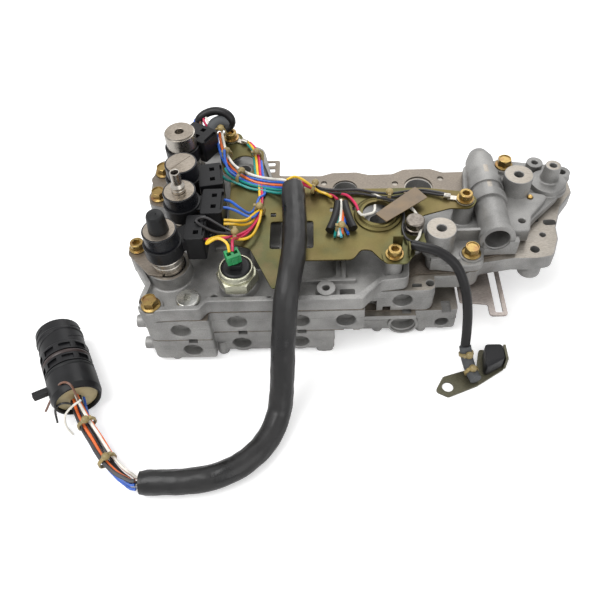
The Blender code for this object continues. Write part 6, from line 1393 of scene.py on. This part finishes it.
BACK_LOOP = ((-82.9, 100.1, 92), (-82.4, 102.6, 98), (-77, 104.9, 102), (-68.6, 105.7, 104),
             (-60.5, 104, 103), (-55.9, 101.6, 99), (-56.5, 100.4, 94), (-61, 98.6, 91))
BACK_SLEEVE = ((-72.6, 94, 91), (-70.4, 98.4, 96), (-64.6, 101.4, 97.4), (-58, 101.8, 95))
BACK_WIRES = (
    ("blue", ((-83.6, 105.4, 99), (-86, 101, 97.5), (-84, 96.4, 94), (-77.6, 93.8, 90.5))),
    ("white", ((-82, 104.6, 99), (-83.6, 100, 97), (-81.4, 95.8, 94.4), (-76.6, 93.6, 91))),
    ("brown", ((-80.5, 104.4, 100), (-81, 98.6, 97.4), (-78.4, 94.8, 94.6), (-74.4, 93.4, 91.6))),
    ("crimson", ((-78.4, 103.4, 101), (-77.6, 99, 98.8), (-74.6, 96, 95), (-72, 94.4, 92))),
    ("white", ((-76.4, 102.6, 101), (-74.4, 98.4, 98.4), (-72.4, 96, 95), (-71, 93.8, 91.6))),
    ("green", ((-81, 95.4, 94), (-77.6, 95.2, 93.4), (-74, 94.4, 92.4))),
)


def build_back_wires():
    """Turn of covered wires behind the tall can, with the end of its grey sleeve."""
    piece("back_loop_cover", tube(smooth_route(BACK_LOOP, 2.0), 3.4, 16), CABLE)
    piece("back_sleeve_end", tube(smooth_route(BACK_SLEEVE, 2.0), 4.6, 16), GREY)
    for i, (colour, points) in enumerate(BACK_WIRES):
        r = 1.9 if colour == "green" else 1.0
        piece(f"back_wire_{i + 1}", tube(smooth_route(points, 2.0), r, 8), WIRES[colour])


def build_loom():
    owner = None
    for i, (colour, points) in enumerate(LOOM + FAN):
        made = piece(f"plate_wire_{i + 1}", tube(smooth_route(points, 2.4), WIRE_R, 8), WIRES[colour])
        owner = owner or made
    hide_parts("wiring_loom")
    sides = {"left": ((28.6, 18.5, 82.2), (27.4, 10.0, 82.2), (25.0, 0.0, 82.2), (21.5, -10.0, 82.2)),
             "right": ((33.6, 18.5, 82.2), (34.8, 10.0, 82.2), (37.0, 0.0, 82.2), (39.5, -8.5, 82.2))}
    for name, points in sides.items():
        made = piece(f"splice_sleeve_{name}", tube(smooth_route(points, 2.0), 2.9, 16), CABLE,
                     "twin_sleeves" if name == "left" else None)
    for name, place, heading, r, head in TIES:
        start = Vector(place) - Vector(heading) / 2
        tie(name, [start, Vector(place), start + Vector(heading)], 0.5, r, head)


# Finishes of the CAD nodes that stay: the valves and springs inside the castings

def finish_kept_nodes():
    for name, node in frame["nodes"].items():
        if node.hide_render:
            continue
        node.data.materials.clear()
        node.data.materials.append(SPRING if "spring" in name else TURNED)


# Floor, world and lamps

FLOOR_SIZE = 6.0
BACKGROUND = 1.0
AMBIENT = 0.62


def build_world():
    world = bpy.data.worlds.new("studio")
    bpy.context.scene.world = world
    world.use_nodes = True
    nodes, links = world.node_tree.nodes, world.node_tree.links
    light = nodes["Background"]
    path = nodes.new("ShaderNodeLightPath")
    seen = nodes.new("ShaderNodeMath")
    seen.operation = "MAXIMUM"
    both = nodes.new("ShaderNodeMath")
    both.operation = "MAXIMUM"
    links.new(path.outputs["Is Camera Ray"], seen.inputs[0])
    links.new(path.outputs["Is Glossy Ray"], seen.inputs[1])
    links.new(seen.outputs["Value"], both.inputs[0])
    links.new(path.outputs["Is Transmission Ray"], both.inputs[1])
    strength = nodes.new("ShaderNodeMapRange")
    strength.inputs["To Min"].default_value = AMBIENT
    strength.inputs["To Max"].default_value = BACKGROUND
    links.new(both.outputs["Value"], strength.inputs["Value"])
    links.new(strength.outputs["Result"], light.inputs["Strength"])
    light.inputs["Color"].default_value = (1.0, 1.0, 1.0, 1.0)


def build_floor():
    mesh = bpy.data.meshes.new("floor")
    h = FLOOR_SIZE / 2
    mesh.from_pydata([(-h, -h, 0), (h, -h, 0), (h, h, 0), (-h, h, 0)], [], [(0, 1, 2, 3)])
    floor = bpy.data.objects.new("floor", mesh)
    bpy.context.scene.collection.objects.link(floor)
    made = Finish("pale_floor")
    made.colour(made.ramp(made.noise(4.0), [(0.3, (0.9, 0.9, 0.9)), (0.7, (0.94, 0.94, 0.94))]))
    made.set(roughness=0.8, emission_color=(1.0, 1.0, 1.0, 1.0))
    path = made.nodes.new("ShaderNodeLightPath")
    glow = made.nodes.new("ShaderNodeMath")
    glow.operation = "MULTIPLY"
    glow.inputs[1].default_value = 0.35
    made.links.new(path.outputs["Is Camera Ray"], glow.inputs[0])
    made.links.new(glow.outputs["Value"], made.shader.inputs["Emission Strength"])
    mesh.materials.append(made.material)


LAMPS = (("key", (-0.55, -0.25, 1.15), 0.8, 9.0), ("fill", (0.7, -0.9, 0.8), 0.9, 3.6),
         ("back", (0.2, 0.9, 0.9), 0.8, 4.0))
LAMP_AIM = Vector((0, -0.03, 0.04))


def build_lamps():
    for name, place, size, power in LAMPS:
        lamp = bpy.data.objects.new(name, bpy.data.lights.new(name, "AREA"))
        bpy.context.scene.collection.objects.link(lamp)
        lamp.data.size = size
        lamp.data.energy = power
        lamp.location = place
        lamp.rotation_mode = "QUATERNION"
        lamp.rotation_quaternion = (LAMP_AIM - Vector(place)).to_track_quat("-Z", "Y")


build_camera()
build_main_cord()
build_sensor_cord()
build_lower_casting()
build_lower_sheet()
build_middle_casting()
build_upper_sheet()
build_upper_left_casting()
build_upper_right_casting()
build_wiring_plate()
build_shield()
build_clip()
build_clamp()
build_solenoids()
build_connectors()
build_switch()
build_plugs()
build_bolts()
build_manual_valve()
build_loom()
build_back_wires()
finish_kept_nodes()
build_world()
build_floor()
build_lamps()
bpy.context.scene.view_settings.view_transform = "Standard"
